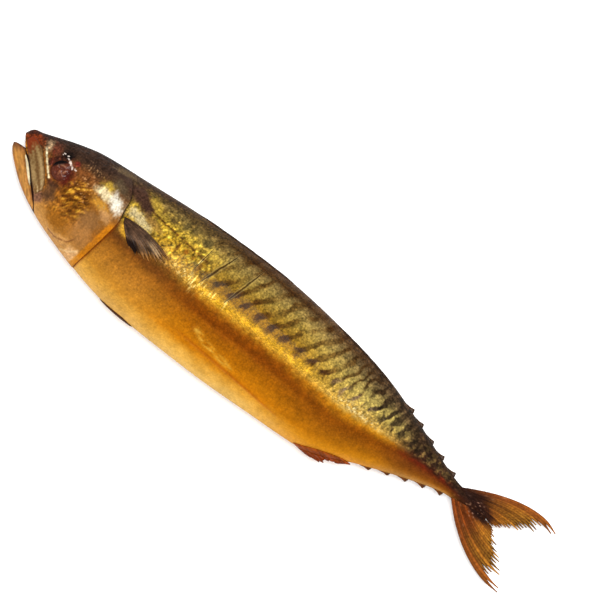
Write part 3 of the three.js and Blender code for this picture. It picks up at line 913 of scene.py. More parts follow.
def head_paint(row, x, y, colour):
    """Paints the marks of the head over a colour."""
    band = ease(60.6, 61.8, row + 0.5 * rough_noise(x, y, 2.4, 2.0)) * ease(1, -3, y) * ease(-31, -27, y)
    colour = blend(colour, (206, 122, 14), 0.9 * band * (0.8 + 0.4 * rough_noise(x, y, 3, 7.0)))
    cheek = cheek_share(x, y)
    if cheek > 0:
        strokes = fibre(x, y)
        # Gold on the raised fibres and dark in the furrows between them: partly their own colour, partly
        # painted highlight and painted shade.
        colour = blend(colour, (222, 166, 54), 0.8 * cheek * ease(0.1, 0.55, strokes))
        colour = blend(colour, (70, 36, 8), 0.75 * cheek * ease(-0.02, -0.4, strokes))
    colour = blend(colour, (112, 44, 28), 0.6 * hump(way_from_path(x, y, RIDGE_SHADE), 0, 0.5))
    # A painted highlight: the bright line along the brow ridge.
    ridge = hump(way_from_path(x, y, BROW_RIDGE) + 0.3 * rough_noise(x, y, 1.6, 3.3), 0, 0.55)
    colour = blend(colour, (252, 238, 192), 0.95 * ridge)
    arc = hump(way_from_path(x, y, COVER_ARC), 0, 0.4) * ease(-0.7, 0.0, rough_noise(x, y, 2, 1.0))
    colour = blend(colour, (112, 66, 36), 0.7 * arc)
    colour = blend(colour, (246, 214, 160), 0.5 * hump(way_from_path(x, y, COVER_RIM), 0, 0.5))
    if x > 48 and -3 < y < 15:
        scratch = rough_noise((0.54 * x - 0.84 * y) / 3, 0.84 * x + 0.54 * y, 0.9, 4.0)
        scratch += 0.4 * rough_noise(x, y, 0.8, 6.0)
        scratched = 0.6 * ease(0.1, 0.6, scratch) * ease(48, 51, x) * ease(0.5, 3, y)
        colour = blend(colour, (146, 122, 84), scratched)
    fine = rough_noise(x, y, 0.9, 5.1)
    calm = ease(-12, -18, y) + ease(50, 54, x)
    strength = max(0.25, 1 - 0.75 * calm) * (1 + 0.6 * ease(22, 14, x))
    colour = toned(colour, strength * (0.26 * rough_noise(x, y, 2.2, 8.1) + 0.34 * fine))
    # Pale flecks behind the eye: painted glints on the wrinkled skin.
    if 20 < x < 52 and -2 < y < 18:
        fleck = ease(0.25, 0.6, fine + 0.4 * rough_noise(x, y, 3, 2.7)) * ease(36, 40, x) * ease(52, 46, x)
        colour = blend(colour, (206, 160, 108), 0.6 * fleck)
    # Painted highlights: the wet glints round the eye.
    return blend(colour, (255, 236, 222), 0.95 * sparkle(x, y))


def head_skin_paint(row, x, y):
    """Colour, shine and strength of the grain on the head."""
    share = (y - belly_at(x)) / max(0.5, back_at(x) - belly_at(x))
    colour = head_paint(row, x, y, patchwork(x, y, ramp(HEAD_RAMP, share)))
    gloss = 0.25 + 0.25 * hump(math.hypot((x - 60) / 7, (y - 7) / 5), 0, 1)
    return colour, gloss * ease(1.0, 0.9, share) * ease(0.0, 0.08, share), 0.7 + 0.6 * ease(0.6, 0.75, share)


loft(
    "head_skin", (SNOUT, GILL_X), (under_edge, back_at), HEAD_COUNTS, skin, head_skin_paint,
    head_row, gill_shift, head_relief,
)

# %% [markdown]
# ## The body
# The second loft begins under the gill cover and runs to the end of the flesh between the tail lobes. Its
# paint puts the ramps, the waves, the marks of the flank and the patches of the shoulder together. The
# lateral line, the painted highlights on wrinkles and the other painted glints are short strokes along
# paths, which are easier to place than any texture.

# %% Body
BODY_COUNTS = (470, 205)
BODY_START = 58.0  # the body begins under the gill cover
SHOULDER_END = 118  # the patches behind the gill end here
# Tufts of pale strokes painted as highlights on wrinkled skin: x, y, width and height of each tuft.
WRINKLE_HIGHLIGHTS = (
    (113.4, 11, 1.2, 7), (117.5, 1.5, 3.4, 4.6), (121.5, 2.2, 2.6, 4), (135.5, 3.5, 1.6, 3.4), (128, 3, 2, 3),
)
RED_STREAK = [(252, 0.2), (266, 1.5), (284, 2.7)]
LATERAL_LINE = [(71.3, 22.8), (76.7, 17.8), (82, 16.6), (98, 15.5), (110, 14.4), (116.4, 14)]


def body_row(along):
    return BODY_START + (FLESH_END - BODY_START) * along


def shimmer_oval(x, y, middle, size):
    """1 in the middle of a soft oval of pale glints, fading round it."""
    return hump(math.hypot((x - middle[0]) / size[0], (y - middle[1]) / size[1]), 0, 1)


def marks_paint(x, y, colour):
    """Paints the marks of the flank over a colour."""
    if x > 244:
        streak = hump(way_from_path(x, y, RED_STREAK), 0, 1.1) * ease(-0.3, 0.3, rough_noise(x, y, 3, 6.0))
        return blend(colour, (112, 34, 14), 0.7 * streak)
    for wx, wy, wide, tall in WRINKLE_HIGHLIGHTS:
        if abs(x - wx) < 8:
            tuft = hump(math.hypot((x - wx) / wide, (y - wy) / tall), 0, 1)
            strokes = ease(0.1, 0.45, rough_noise(x * 4, y * 0.7, 2.8, wx))
            colour = blend(colour, (252, 232, 156), 0.75 * tuft * strokes)
    # Two soft ovals of pale glints: painted highlights on the flank.
    shimmer = ease(0.0, 0.4, rough_noise(x, y, 0.9, 7.3))
    colour = blend(colour, (244, 228, 168), 0.65 * shimmer * shimmer_oval(x, y, (109.5, 3), (7, 2.6)))
    colour = blend(colour, (240, 226, 176), 0.75 * shimmer * shimmer_oval(x, y, (222, 2.2), (15, 2.3)))
    if y < -8:
        # A painted highlight along the fold of the belly.
        glint = hump(way_from_path(x, y, FOLD_GLINT), 0, 1.5)
        glint *= ease(-0.5, 0.4, rough_noise(x + y, y * 4, 5, 4.2))
        colour = blend(colour, (240, 190, 80), 0.8 * glint)
        # A darker orange line along the crease of the fold, partly painted shade.
        crease = hump(y - BELLY_FOLD(x), 0.8, 0.8) * ease(118, 138, x) * ease(200, 172, x)
        colour = blend(colour, (172, 86, 0), 0.6 * crease)
    if x < SHOULDER_END and y > 8:
        lateral = hump(way_from_path(x, y, LATERAL_LINE) + 0.35 * rough_noise(x, y, 1.5, 2.0), 0, 0.62)
        colour = blend(colour, (74, 40, 14), 0.9 * lateral * ease(-0.6, 0.1, rough_noise(x, 0, 1.6, 5.0)))
    return colour


def body_tone(x, y, share):
    """Fine unevenness of the skin behind the gill, as a share of its colour."""
    back = ease(0.46, 0.56, share)
    front = ease(130, 105, x) * ease(0.56, 0.66, share)
    rear = ease(206, 236, x) * ease(0.54, 0.62, share)
    fine = 0.07 + 0.2 * back + 0.28 * front + 0.16 * rear + 0.05 * ease(140, 110, x)
    wide = 0.05 + 0.1 * back + 0.16 * front + 0.16 * rear + 0.12 * hump(share, 0.43, 0.05)
    return fine * rough_noise(x, y, 0.85, 3.5) + wide * rough_noise(x, y, 2.3, 6.5)


def body_paint(row, x, y):
    """Colour, shine and strength of the grain behind the gill."""
    share = (y - belly_at(x)) / max(0.5, back_at(x) - belly_at(x))
    wave = dark_wave(x, y, share)
    dark = blend(blend((84, 64, 30), (64, 36, 8), ease(104, 140, x)), (42, 31, 20), ease(205, 235, x))
    dark = blend(dark, (108, 86, 72), 0.8 * ease(198, 206, x) * ease(236, 226, x) * ease(0.74, 0.66, share))
    colour = flank_colour(x, y, share)
    if x < 132 and share > 0.56:
        cell = ease(0.0, 0.45, rough_noise(x, y, 2.2, 4.9)) * ease(132, 112, x) * ease(0.56, 0.64, share)
        colour = blend(colour, (248, 212, 80), 0.7 * cell * ease(0.9, 0.76, share))
    colour = marks_paint(x, y, blend(colour, dark, wave))
    colour = toned(colour, body_tone(x, y, share))
    gold = hump(share, 0.545, 0.05) * ease(66, 100, x) * ease(262, 235, x)
    gloss = 0.26 + 0.3 * gold - 0.2 * wave - 0.14 * ease(0.6, 0.7, share)
    if row < SHOULDER_END:
        colour = patchwork(x, y, colour)
    # Painted shade in the groove under the edge of the gill cover, red-brown below and near-black higher up.
    if row < GILL_X + 4:
        groove = 0.9 * hump(row, GILL_X + 0.35, 0.55) * ease(23, 19, y)
        colour = blend(colour, blend((118, 54, 10), (30, 20, 14), ease(0, 6, y)), groove)
    base = ease(282, 296, x)
    # Pale painted glints on the dark scales at the root of the tail.
    scale_glint = ease(0.2, 0.55, rough_noise(x, y * 1.4, 1.9, 9.9))
    colour = blend(colour, blend((48, 26, 18), (170, 128, 98), 0.7 * scale_glint), 0.9 * base)
    gloss *= (1 - 0.6 * base) * ease(1.0, 0.9, share) * ease(0.0, 0.06, share)
    return colour, max(0.0, gloss), 0.4 + 0.5 * ease(0.12, 0.3, share) + 0.95 * ease(0.48, 0.6, share)


loft(
    "body_skin", (BODY_START, FLESH_END), (belly_at, back_at), BODY_COUNTS, skin, body_paint,
    body_row, gill_shift, body_relief,
)

# %% [markdown]
# ## The lower jaw
# The jaw is a slim loft under the lip, between the belly line and its own upper edge. It could be cut from
# the head with a boolean, but as a loft of its own it keeps even rows and a rounded rim.

# %% Lower jaw
JAW_TOP = [
    (0, 0.5), (1, 1.2), (4.4, 1.7), (7, 1.6), (9.6, -0.7), (12.1, -2.7), (16.4, -6.9), (19, -9.5),
    (23, -13.3), (27, -17.4), (JAW_END, -21.5),
]
JAW_COUNTS = (110, 84)
jaw_top = smooth_line(JAW_TOP)
JAW_RAMP = [
    (0, (172, 110, 46)), (0.3, (190, 132, 62)), (0.6, (196, 136, 68)), (0.85, (164, 106, 56)),
    (1, (80, 48, 32)),
]


def jaw_paint(row, x, y):
    share = (y - belly_at(x)) / max(0.5, jaw_top(x) - belly_at(x))
    colour = blend(ramp(JAW_RAMP, share), (104, 62, 40), 0.85 * ease(8, 1, x + 4 * (1 - share)))
    colour = blend(colour, (206, 152, 60), 0.6 * ease(0.0, 0.5, rough_noise(x, y, 6, 4.0)) * ease(6, 12, x))
    lines = rough_noise(0.75 * x - 0.66 * y, (0.66 * x + 0.75 * y) * 4, 4, 2.0)
    return toned(colour, 0.22 * lines + 0.1 * rough_noise(x, y, 1.2, 2.0)), 0.2, 0.4


def jaw_relief(row, x, y):
    away = jaw_top(x) - y
    return 0.14 * rough_noise(x, y, 4, 1.0) - 0.4 * hump(away, 0, 0.5) - 0.25 * ease(27, JAW_END, x)


loft("lower_jaw", (0.0, JAW_END), (belly_at, jaw_top), JAW_COUNTS, skin, jaw_paint, relief=jaw_relief)

# %% [markdown]
# ## The mouth
# Behind the gap between the jaws lies the lining of the mouth, painted near-black brown: partly its own
# colour and partly painted shade inside the mouth. A smaller loft, drawn in from both flanks and hidden in
# the jaws above and below, closes the view into the head.

# %% Mouth lining
LINING_START = 6.8
LINING_DEPTH = 2.2  # how far the lining reaches into each jaw
LINING_COUNTS = (40, 40)
LINING_INSET = 0.86
LINING_BROWN = (40, 20, 12)


def lining_low(x):
    return jaw_top(x) - LINING_DEPTH


def lining_high(x):
    return lip_at(x) + LINING_DEPTH


def lining_paint(row, x, y):
    # Near-black brown: partly the lining's own colour, partly painted shade inside the mouth.
    return LINING_BROWN, 0.0, 1.0


loft(
    "mouth_lining", (LINING_START, JAW_END), (lining_low, lining_high), LINING_COUNTS, mouth, lining_paint,
    inset=LINING_INSET,
)

# %% [markdown]
# ## Strands
# The pale lip, the folded spines of the back fin and the rays of the belly fins are all thin strands along a
# path. A curve object with a bevel would do, but a grid rolled round the path can be painted like the rest.
# Each strand is thick in the middle and thin at its ends.

# %% Strands
def path_point(path, share):
    """The point at a share of the way along a path of (x, y, z) points."""
    place = share * (len(path) - 1)
    i = min(len(path) - 2, int(place))
    return Vector(path[i]).lerp(Vector(path[i + 1]), place - i)


STRAND_TIP = (40, 24, 14)
STRAND_SHINE = 0.3


def strand(bm, layers, path, radius, colour, steps=24, sides=8, taper=0.5):
    """A thin strand along (x, y, z) points, added to a mesh."""
    tint, shine = layers
    grid = bmesh.ops.create_grid(bm, x_segments=steps, y_segments=sides, size=1)["verts"]
    for vert in grid:
        along, around = (vert.co.x + 1) / 2, math.pi * (vert.co.y + 1)
        middle = path_point(path, along)
        ahead = (path_point(path, min(1, along + 0.02)) - path_point(path, max(0, along - 0.02))).normalized()
        across = ahead.cross(Vector((0, 0, 1))).normalized()
        over = across.cross(ahead)
        thick = radius * max(0.0, math.sin(math.pi * min(1.0, max(0.0, along)))) ** taper
        point = middle + thick * (math.cos(around) * across + math.sin(around) * over)
        vert[tint] = light(blend(colour, STRAND_TIP, 0.3 * ease(0.7, 1.0, along)))
        vert[shine] = STRAND_SHINE
        vert.co = seat(*point)


def flank_z(x, y):
    """Half thickness of the body at a place in the side view."""
    belly, widest, back, half = section(x)
    full, reach = (BACK_FULLNESS, back - widest) if y > widest else (BELLY_FULLNESS, widest - belly)
    away = min(1.0, abs(y - widest) / max(0.01, reach))
    return half * (1 - away**full) ** (1 / full)


print("half thickness at the eye:", round(flank_z(EYE_X, EYE_Y), 1), "mm")

# %% [markdown]
# ## The inner lip
# The pale inner lip of the lower jaw shows as a thin strip in the gap. It is one strand on each side, half
# sunk in the rim of the jaw.

# %% Inner lip
LIP_COLOUR = (240, 222, 180)
LIP_SPAN = (9, 22)
LIP_RADIUS = 0.72
bm = bmesh.new()
layers = paint_layers(bm)
for side in (1, -1):
    lip = [(x, jaw_top(x) - 0.4, side * (flank_z(x, jaw_top(x)) - 0.1)) for x in range(*LIP_SPAN)]
    strand(bm, layers, lip, LIP_RADIUS, LIP_COLOUR)
add_piece("inner_lip", bm, mouth)

# %% [markdown]
# ## Plates on the flank
# The upper jaw bone is a flat plate that lies over the side of the head. A grid between two edges, laid on
# the flank and sunk at its rim, gives a plate with soft borders and no gap under it.

# %% Jaw plates
def between(path, share):
    """The point at a share of the way along a path in the side view."""
    return path_point([(x, y, 0) for x, y in path], share)


def flank_plate(bm, layers, side, first, second, counts, rise, paint):
    """A plate between two edges of the side view, raised in its middle and sunk at its rim."""
    tint, shine = layers
    grid = bmesh.ops.create_grid(bm, x_segments=counts[0], y_segments=counts[1], size=1)["verts"]
    for vert in grid:
        along, across = (vert.co.x + 1) / 2, (vert.co.y + 1) / 2
        point = between(first, along).lerp(between(second, along), across)
        rim = min(along, 1 - along, across, 1 - across)
        lift = rise * ease(0, 0.14, rim) - 0.5 * ease(0.04, 0, rim)
        vert[tint] = light(paint(point.x, point.y, along, across), 0.6)
        vert[shine] = 0.3
        vert.co = seat(point.x, point.y, side * (flank_z(point.x, point.y) + lift))


PLATE_COUNTS = (96, 44)
PLATE_RISE = 0.75
PLATE_UPPER = [(5.5, 9.2), (9.5, 9.2), (14.6, 7), (19, 2.9), (23.4, -1.6), (26.6, -6.2), (27.6, -10)]
PLATE_LOWER = [(4.6, 6.2), (7.4, 2.6), (12, -1.6), (16.2, -5.6), (20.4, -9.8), (24, -12.8), (26.2, -14)]


def jaw_plate_paint(x, y, along, across):
    streak = rough_noise(along * 6, across * 11, 2.2, 1.0) + 0.6 * rough_noise(x, y, 1.1, 4.0)
    # The light streaks are partly the plate's grain and partly painted sheen; the two pale bands below are
    # painted sheen.
    colour = blend((116, 84, 48), (160, 130, 84), ease(-0.5, 0.6, streak))
    colour = blend(colour, (128, 52, 24), ease(0.32, 0.1, along + 0.1 * streak))
    colour = blend(colour, (192, 160, 112), 0.6 * hump(across, 0.22, 0.08) * ease(0.3, 0.5, along))
    colour = blend(colour, (206, 186, 146), 0.6 * ease(0.2, 0.6, streak) * ease(0.7, 0.85, along))
    return blend(colour, (62, 38, 26), 0.7 * ease(0.1, 0.0, min(across, 1 - across, 1 - along)))


bm = bmesh.new()
layers = paint_layers(bm)
for side in (1, -1):
    flank_plate(bm, layers, side, PLATE_UPPER, PLATE_LOWER, PLATE_COUNTS, PLATE_RISE, jaw_plate_paint)
add_piece("jaw_plates", bm, skin)

# %% [markdown]
# ## The eyes
# Smoking shrinks the eye: a dark pit stays at its top and a wrinkled red-brown disc below it. A flattened
# ball in the socket, dented by noise and painted from dark to red, reads as that. The near-black of the pit
# is partly the eye's own dark and partly painted shade. The small wet glints are painted highlights too,
# where they show.

# %% Eyes
EYE_DOME = 1.0
EYE_SINK = 0.55


def eye_paint(dx, dy, wrinkle, arcs):
    """Colour of the shrunken eye at a place in its disc, from -1 to 1."""
    middle = ease(0.95, 0.3, math.hypot(dx + 0.1, dy))
    colour = blend((88, 40, 26), (152, 92, 60), ease(-0.4, 0.6, wrinkle) * middle)
    colour = blend(colour, (186, 142, 114), 0.55 * arcs)
    colour = blend(colour, (72, 22, 18), 0.8 * ease(0.15, 0.8, dx))
    colour = blend(colour, (86, 42, 28), 0.9 * ease(0.62, 0.95, math.hypot(dx, dy) + 0.15 * wrinkle))
    # The near-black pit at the top left: partly the eye's own dark, partly painted shade in the sunken pit.
    return blend(colour, (12, 8, 8), ease(0.3, -0.15, dx - 0.9 * dy + 0.95))


bm = bmesh.new()
tint, shine = paint_layers(bm)
for side in (1, -1):
    ball = bmesh.ops.create_uvsphere(bm, u_segments=88, v_segments=48, radius=1)["verts"]
    level = flank_z(EYE_X, EYE_Y)
    for vert in ball:
        dx, dy = vert.co.x, vert.co.y
        x, y = EYE_X + EYE_RADIUS * dx, EYE_Y + EYE_RADIUS * dy
        wrinkle = rough_noise(dx, dy, 0.36, 1.7) + 0.6 * rough_noise(dx, dy, 0.15, 3.7)
        arcs = hump(math.hypot(dx + 0.2, dy - 0.1) + 0.08 * wrinkle, 0.45, 0.07) * ease(-0.3, 0.4, wrinkle)
        # Painted highlights: the wet glints, where they fall on the eye.
        colour = blend(eye_paint(dx, dy, wrinkle, arcs), (255, 230, 214), 0.95 * sparkle(x, y))
        vert[tint] = light(colour)
        vert[shine] = 0.5
        bulge = EYE_DOME * vert.co.z + 0.2 * wrinkle + 0.15 * arcs
        vert.co = seat(x, y, side * (level - EYE_SINK + bulge))
add_piece("eyes", bm, eye)

# %% [markdown]
# ## Fans of rays
# Every fin is a fan of rays that start on a root line and end on a ragged edge. Each ray is a narrow strip
# with a ridge along its middle and a pointed end, and neighbours overlap a little, as dried rays do. The
# tail, the pectoral fins and the anal fin differ only in the curves that guide the fan. One flat sheet with
# a bump would be lighter, but it has no ragged edge and no gaps.

# %% Fan of rays
random.seed(7)
FIN_SHINE = 0.3


def bow(a, b, c, t):
    """A point on the curve from a to c that is drawn towards b."""
    return tuple((1 - t) ** 2 * p + 2 * t * (1 - t) * q + t * t * r for p, q, r in zip(a, b, c))


def ray_fan(bm, layers, count, guide, depth, paint, reach_at, overlap=1.25, ridge=0.35, steps=22, lanes=4):
    """Adds count rays. Guide gives (x, y) for a share across the fan and a place along a ray."""
    tint, shine = layers
    for i in range(count):
        centre, half = (i + 0.5) / count, overlap / count / 2
        reach = reach_at(centre)
        tone, sink = random.uniform(-1, 1), random.uniform(-0.12, 0.12)
        grid = bmesh.ops.create_grid(bm, x_segments=steps, y_segments=lanes, size=1)["verts"]
        for vert in grid:
            along, across = (vert.co.x + 1) / 2, vert.co.y
            narrow = 1 - 0.92 * ease(0.74, 1.0, along)
            share = min(1.0, max(0.0, centre + across * half * narrow))
            x, y = guide(share, along * reach)
            lift = ridge * (1 - across * across) + sink * along
            vert[tint] = light(paint(centre, along, across, tone))
            vert[shine] = FIN_SHINE
            vert.co = seat(x, y, depth(x, y, lift, along))


def frayed(depth):
    """Rays that are shortened by chance, by up to this share."""
    return lambda centre: 1 - depth * random.random() ** 1.5


def thicken(piece, millimetres):
    """Gives the thin sheet of a fin a thickness."""
    wall = piece.modifiers.new("thickness", "SOLIDIFY")
    wall.thickness = millimetres * MM
    wall.offset = 0.0


print("half way along a bow from (0, 0) to (2, 0) drawn to (1, 1):", bow((0, 0), (1, 1), (2, 0), 0.5))

# %% [markdown]
# ## The tail
# The tail has two lobes that part at the fork. Their leading rays are stuck together in one strip, the rays
# next to that are torn off, and the rest are frayed. Each lobe is a fan whose rays bow towards the leading
# edge, laid once on each side of the flesh.

# %% Tail
FORK = (313, -0.8)
UPPER_LOBE = {
    "root": ((303, 2.2), (288, 4.8)), "bow": (322, 25), "tip": (342, 17), "hollow": (326, 6.2),
}
LOWER_LOBE = {
    "root": ((303, 0.6), (287.5, -2)), "bow": (310.3, -25.2), "tip": (337, -26.4), "hollow": (328, -8.5),
}
TAIL_RAYS = 17
RAY_BOW = 0.2
LEADING = 0.86  # from here on the rays are stuck together in one strip
TORN_STRIP = 0.09  # share of the fan behind that strip that is torn off
TAIL_THICKNESS = 0.5
TAIL_RAMP_ALONG = [
    (0, (44, 24, 18)), (0.2, (56, 30, 20)), (0.36, (128, 74, 26)), (0.6, (166, 104, 32)),
    (0.85, (172, 116, 38)), (1, (178, 128, 52)),
]


def lobe_guide(lobe):
    """The curves of a lobe's rays, as a function for ray_fan."""

    def guide(share, along):
        foot = blend(*lobe["root"], share)
        end = bow(FORK, lobe["hollow"], lobe["tip"], share)
        middle = blend(blend(foot, end, 0.5), lobe["bow"], (RAY_BOW + (1 - RAY_BOW) * share) ** 3)
        return bow(foot, middle, end, along)

    return guide


def tail_reach(centre):
    """Leading rays are whole, the ones behind them are torn off, and the rest are frayed."""
    if centre > LEADING:
        return 1.0
    if centre > LEADING - TORN_STRIP:
        return random.uniform(0.82, 0.88)
    return 1 - 0.2 * random.random()


def upper_paint(centre, along, across, tone):
    """Colour of the upper lobe, dark far out in the hollow of the tail."""
    dark_reach = 0.45 * ease(0.55, 0.0, centre) * (1 - 0.3 * tone)
    return ray_paint(ramp(TAIL_RAMP_ALONG, along - dark_reach), centre, along, across, tone)


def lower_paint(centre, along, across, tone):
    """Colour of the lower lobe, which is redder near its root."""
    dark_reach = 0.4 * ease(0.4, 0.0, centre) * (1 - 0.3 * tone)
    colour = ramp(TAIL_RAMP_ALONG, along - dark_reach)
    colour = blend(colour, (150, 72, 24), 0.8 * ease(0.3, 0.5, centre) * ease(0.5, 0.2, along))
    return ray_paint(colour, centre, along, across, tone)


def ray_paint(colour, centre, along, across, tone):
    """Paints joints, glints and dark edges of a ray over a colour."""
    joint = 0.5 + 0.5 * math.sin(along * 95 + centre * 40)
    colour = blend(colour, (96, 50, 18), 0.4 * ease(0.6, 0.95, joint) * ease(0.15, 0.4, along))
    leading = 0.7 * ease(LEADING - 0.05, LEADING + 0.05, centre) * ease(0.0, 0.2, along)
    colour = blend(colour, (122, 62, 24), leading)
    # Pale painted glints of light on the scales near the root of the rays.
    glint = ease(0.35, 0.6, rough_noise(centre * 40, along * 60, 2.4, 3.0))
    glint *= ease(0.5, 0.1, along) * ease(0, 0.06, along)
    colour = blend(colour, (196, 150, 124), 0.7 * glint)
    edge = 0.6 * ease(0.3, 0.8, abs(across)) * (1 - 0.5 * ease(LEADING, 1, centre))
    colour = blend(colour, (76, 38, 14), edge)
    return toned(colour, 0.22 * tone)


def tail_depth(side):
    """Places the rays on the flesh, and beyond it close to the middle plane."""

    def depth(x, y, lift, along):
        flesh = flank_z(x, y) if x < FLESH_END else 0.0
        return side * (flesh + 0.1 + lift * (1 - 0.5 * along))

    return depth


bm = bmesh.new()
layers = paint_layers(bm)
for lobe, paint in ((UPPER_LOBE, upper_paint), (LOWER_LOBE, lower_paint)):
    for side in (1, -1):
        ray_fan(
            bm, layers, TAIL_RAYS, lobe_guide(lobe), tail_depth(side), paint, tail_reach,
            ridge=0.5, steps=36, lanes=8,
        )
thicken(add_piece("tail_fin", bm, fin), TAIL_THICKNESS)

# %% [markdown]
# ## The pectoral fins
# Behind each gill cover a short dark fin lies against the flank. It is a fan again, with rays that overlap
# more and follow the curve of the body, and it stands off a little in the middle, as a dried fin does.

# %% Pectoral fins
PECTORAL_ROOT = ((69, 6), (70.5, 3.4))
PECTORAL_BOW = (82, 10.4)  # the upper rays are drawn towards this point
PECTORAL_THICKNESS = 0.4
PECTORAL_RAMP = [(0, (62, 42, 30)), (0.5, (84, 62, 46)), (0.8, (98, 70, 44)), (1, (150, 100, 46))]
PECTORAL_ENDS = [(104.5, 2.2), (103, 0.8), (99.5, -1), (94.5, -3), (90, -4.9), (84.5, -5.8), (79.6, -4.6)]
PECTORAL_RAYS = 13


def pectoral_guide(share, along):
    foot = blend(*PECTORAL_ROOT, share)
    end = between(PECTORAL_ENDS, share)
    middle = blend(blend(foot, end, 0.5), PECTORAL_BOW, 0.85 * (1 - share) ** 1.3)
    return bow(foot, middle, (end.x, end.y), along)


def pectoral_paint(centre, along, across, tone):
    patch = rough_noise(centre * 5, along * 6, 1.0, 2.2)
    patch += 0.5 * rough_noise(centre * 12, along * 20, 1.0, 5.2)
    colour = toned(ramp(PECTORAL_RAMP, along), 0.4 * patch)
    # A painted highlight along two rays in the middle of the fin.
    glint = hump(centre, 0.3, 0.07) * ease(0.55, 0.7, along) * ease(0.95, 0.85, along)
    glint *= ease(0.7, 0.2, abs(across))
    colour = blend(colour, (214, 180, 132), 0.8 * glint)
    colour = blend(colour, (26, 17, 12), 0.5 * ease(0.3, 0.9, abs(across)))
    # A near-black patch on the lower rays: painted shadow between the fin and the body.
    shadow_under_fin = 0.9 * ease(0.62, 0.8, centre) * ease(0.5, 0.7, along) * ease(1.0, 0.9, along)
    colour = blend(colour, (22, 10, 8), shadow_under_fin)
    return toned(colour, 0.14 * tone)


def pectoral_depth(side):
    """Lays the rays on a flank, with their middles a little off it."""

    def depth(x, y, lift, along):
        return side * (flank_z(x, y) + 0.35 + 0.5 * lift + 0.7 * math.sin(math.pi * along))

    return depth


bm = bmesh.new()
layers = paint_layers(bm)
for side in (1, -1):
    ray_fan(
        bm, layers, PECTORAL_RAYS, pectoral_guide, pectoral_depth(side), pectoral_paint, frayed(0.12),
        overlap=1.7, steps=32, lanes=6,
    )
thicken(add_piece("pectoral_fins", bm, fin), PECTORAL_THICKNESS)

# %% [markdown]
# ## The anal fin
# The red-brown fin behind the vent is folded back over the lower edge of the flank that shows. Its fan
# starts a little above the belly line and sweeps towards the tail.

# %% Anal fin
ANAL_RAYS = 9
ANAL_START, ANAL_LENGTH = 207, 26
ANAL_ROOT_RISE = 2.2  # how far the root bows up from the belly line
ANAL_THICKNESS = 0.5


def anal_guide(share, along):
    root = ANAL_START + ANAL_LENGTH * share
    foot = (root, belly_at(root) + 0.6 + ANAL_ROOT_RISE * math.sin(math.pi * share))
    end = (223.5 + 11.5 * share, -31 + 10 * share**1.2)
    return bow(foot, (foot[0] + 6, end[1] - 0.3 * (1 - share)), end, along)


def anal_paint(centre, along, across, tone):
    colour = blend((156, 76, 18), (118, 46, 16), along)
    colour = blend(colour, (84, 32, 12), 0.6 * ease(0.3, 0.95, abs(across)))
    return toned(colour, 0.15 * tone)


def anal_depth(x, y, lift, along):
    return flank_z(x, y) + 0.3 + lift


bm = bmesh.new()
layers = paint_layers(bm)
ray_fan(bm, layers, ANAL_RAYS, anal_guide, anal_depth, anal_paint, frayed(0.35), overlap=1.5)
thicken(add_piece("anal_fin", bm, fin), ANAL_THICKNESS)

# %% [markdown]
# ## Finlets
# Between the fins and the tail stand small pointed finlets, five above and five below. Each is a small grid
# whose upper edge rises to a point, sunk a little in the body, and chance varies their height and spacing.

# %% Finlets
FINLETS = 5
FINLET_PITCH, FINLET_LENGTH, FINLET_RISE = 9.2, 5.4, 2.3
FINLET_ROOT = 0.8  # how deep a finlet is sunk in the body
FINLET_THICKNESS = 0.7
FINLET_TIP = (50, 30, 18)
FINLET_ROWS = (
    (244.5, back_at, 1, (84, 58, 38)),
    (245.7, belly_at, -1, (130, 74, 34)),
)
bm = bmesh.new()
tint, shine = paint_layers(bm)
for first_tip, edge, side, paint in FINLET_ROWS:
    for i in range(FINLETS):
        tip = first_tip + i * FINLET_PITCH + random.uniform(-0.6, 0.6)
        rise = FINLET_RISE * random.uniform(0.8, 1.15)
        grid = bmesh.ops.create_grid(bm, x_segments=16, y_segments=6, size=1)["verts"]
        for vert in grid:
            along, up = (vert.co.x + 1) / 2, (vert.co.y + 1) / 2
            x = tip - FINLET_LENGTH * (1 - along) + 0.9 * up * along
            crest = rise * along**1.5 * ease(1.03, 0.88, along)
            y = edge(x) + side * (up * (crest + FINLET_ROOT) - FINLET_ROOT)
            vert[tint] = light(blend(paint, FINLET_TIP, 0.5 * ease(0.5, 1, along) + 0.2 * random.random()))
            vert[shine] = FIN_SHINE
            vert.co = seat(x, y, 0.25 * math.sin(7 * along) * up)
thicken(add_piece("finlets", bm, fin), FINLET_THICKNESS)

# %% [markdown]
# ## Folded fins
# The two fins of the back lie folded in a groove, so only their dark spines show as thin lines along the
# ridge. The belly fins lie against the underside and show as dark slivers along the edge. Both are made of
# strands.

# %% Folded fins
FIN_BROWN = (58, 40, 28)
SPINE_RADIUS = 0.5
PATH_STEPS = 8
BACK_FINS = (  # spines, first start, pitch, length, lean, depth under the ridge and its change, steps
    (9, 97, 5.2, 19, 0.1, 0.25, 0.15, 16),
    (10, 188, 3.4, 11, 0.3, 0.6, 0.4, 14),
)


def back_spine(start, length, lean, inward):
    """A folded spine that starts on the line of the back and lies a little down the upper flank."""
    path = []
    for k in range(PATH_STEPS + 1):
        x = start + length * k / PATH_STEPS
        y = back_at(x) - inward + lean * k / PATH_STEPS
        path.append((x, y, flank_z(x, y) + 0.1))
    return path


BELLY_RAYS = 6
BELLY_FIN_START, BELLY_FIN_LENGTH = 84, 22
BELLY_FIN_SPREAD = 2.2
BELLY_RAY_RADIUS = 0.62
BELLY_FIN_DARK, BELLY_FIN_WARM = (60, 34, 20), (110, 62, 28)


def belly_height(x, z):
    """Height of the underside of the belly at a distance from the middle of the fish."""
    belly, widest, _, half = section(x)
    return widest - (widest - belly) * (1 - min(1.0, abs(z) / half) ** BELLY_FULLNESS) ** (1 / BELLY_FULLNESS)


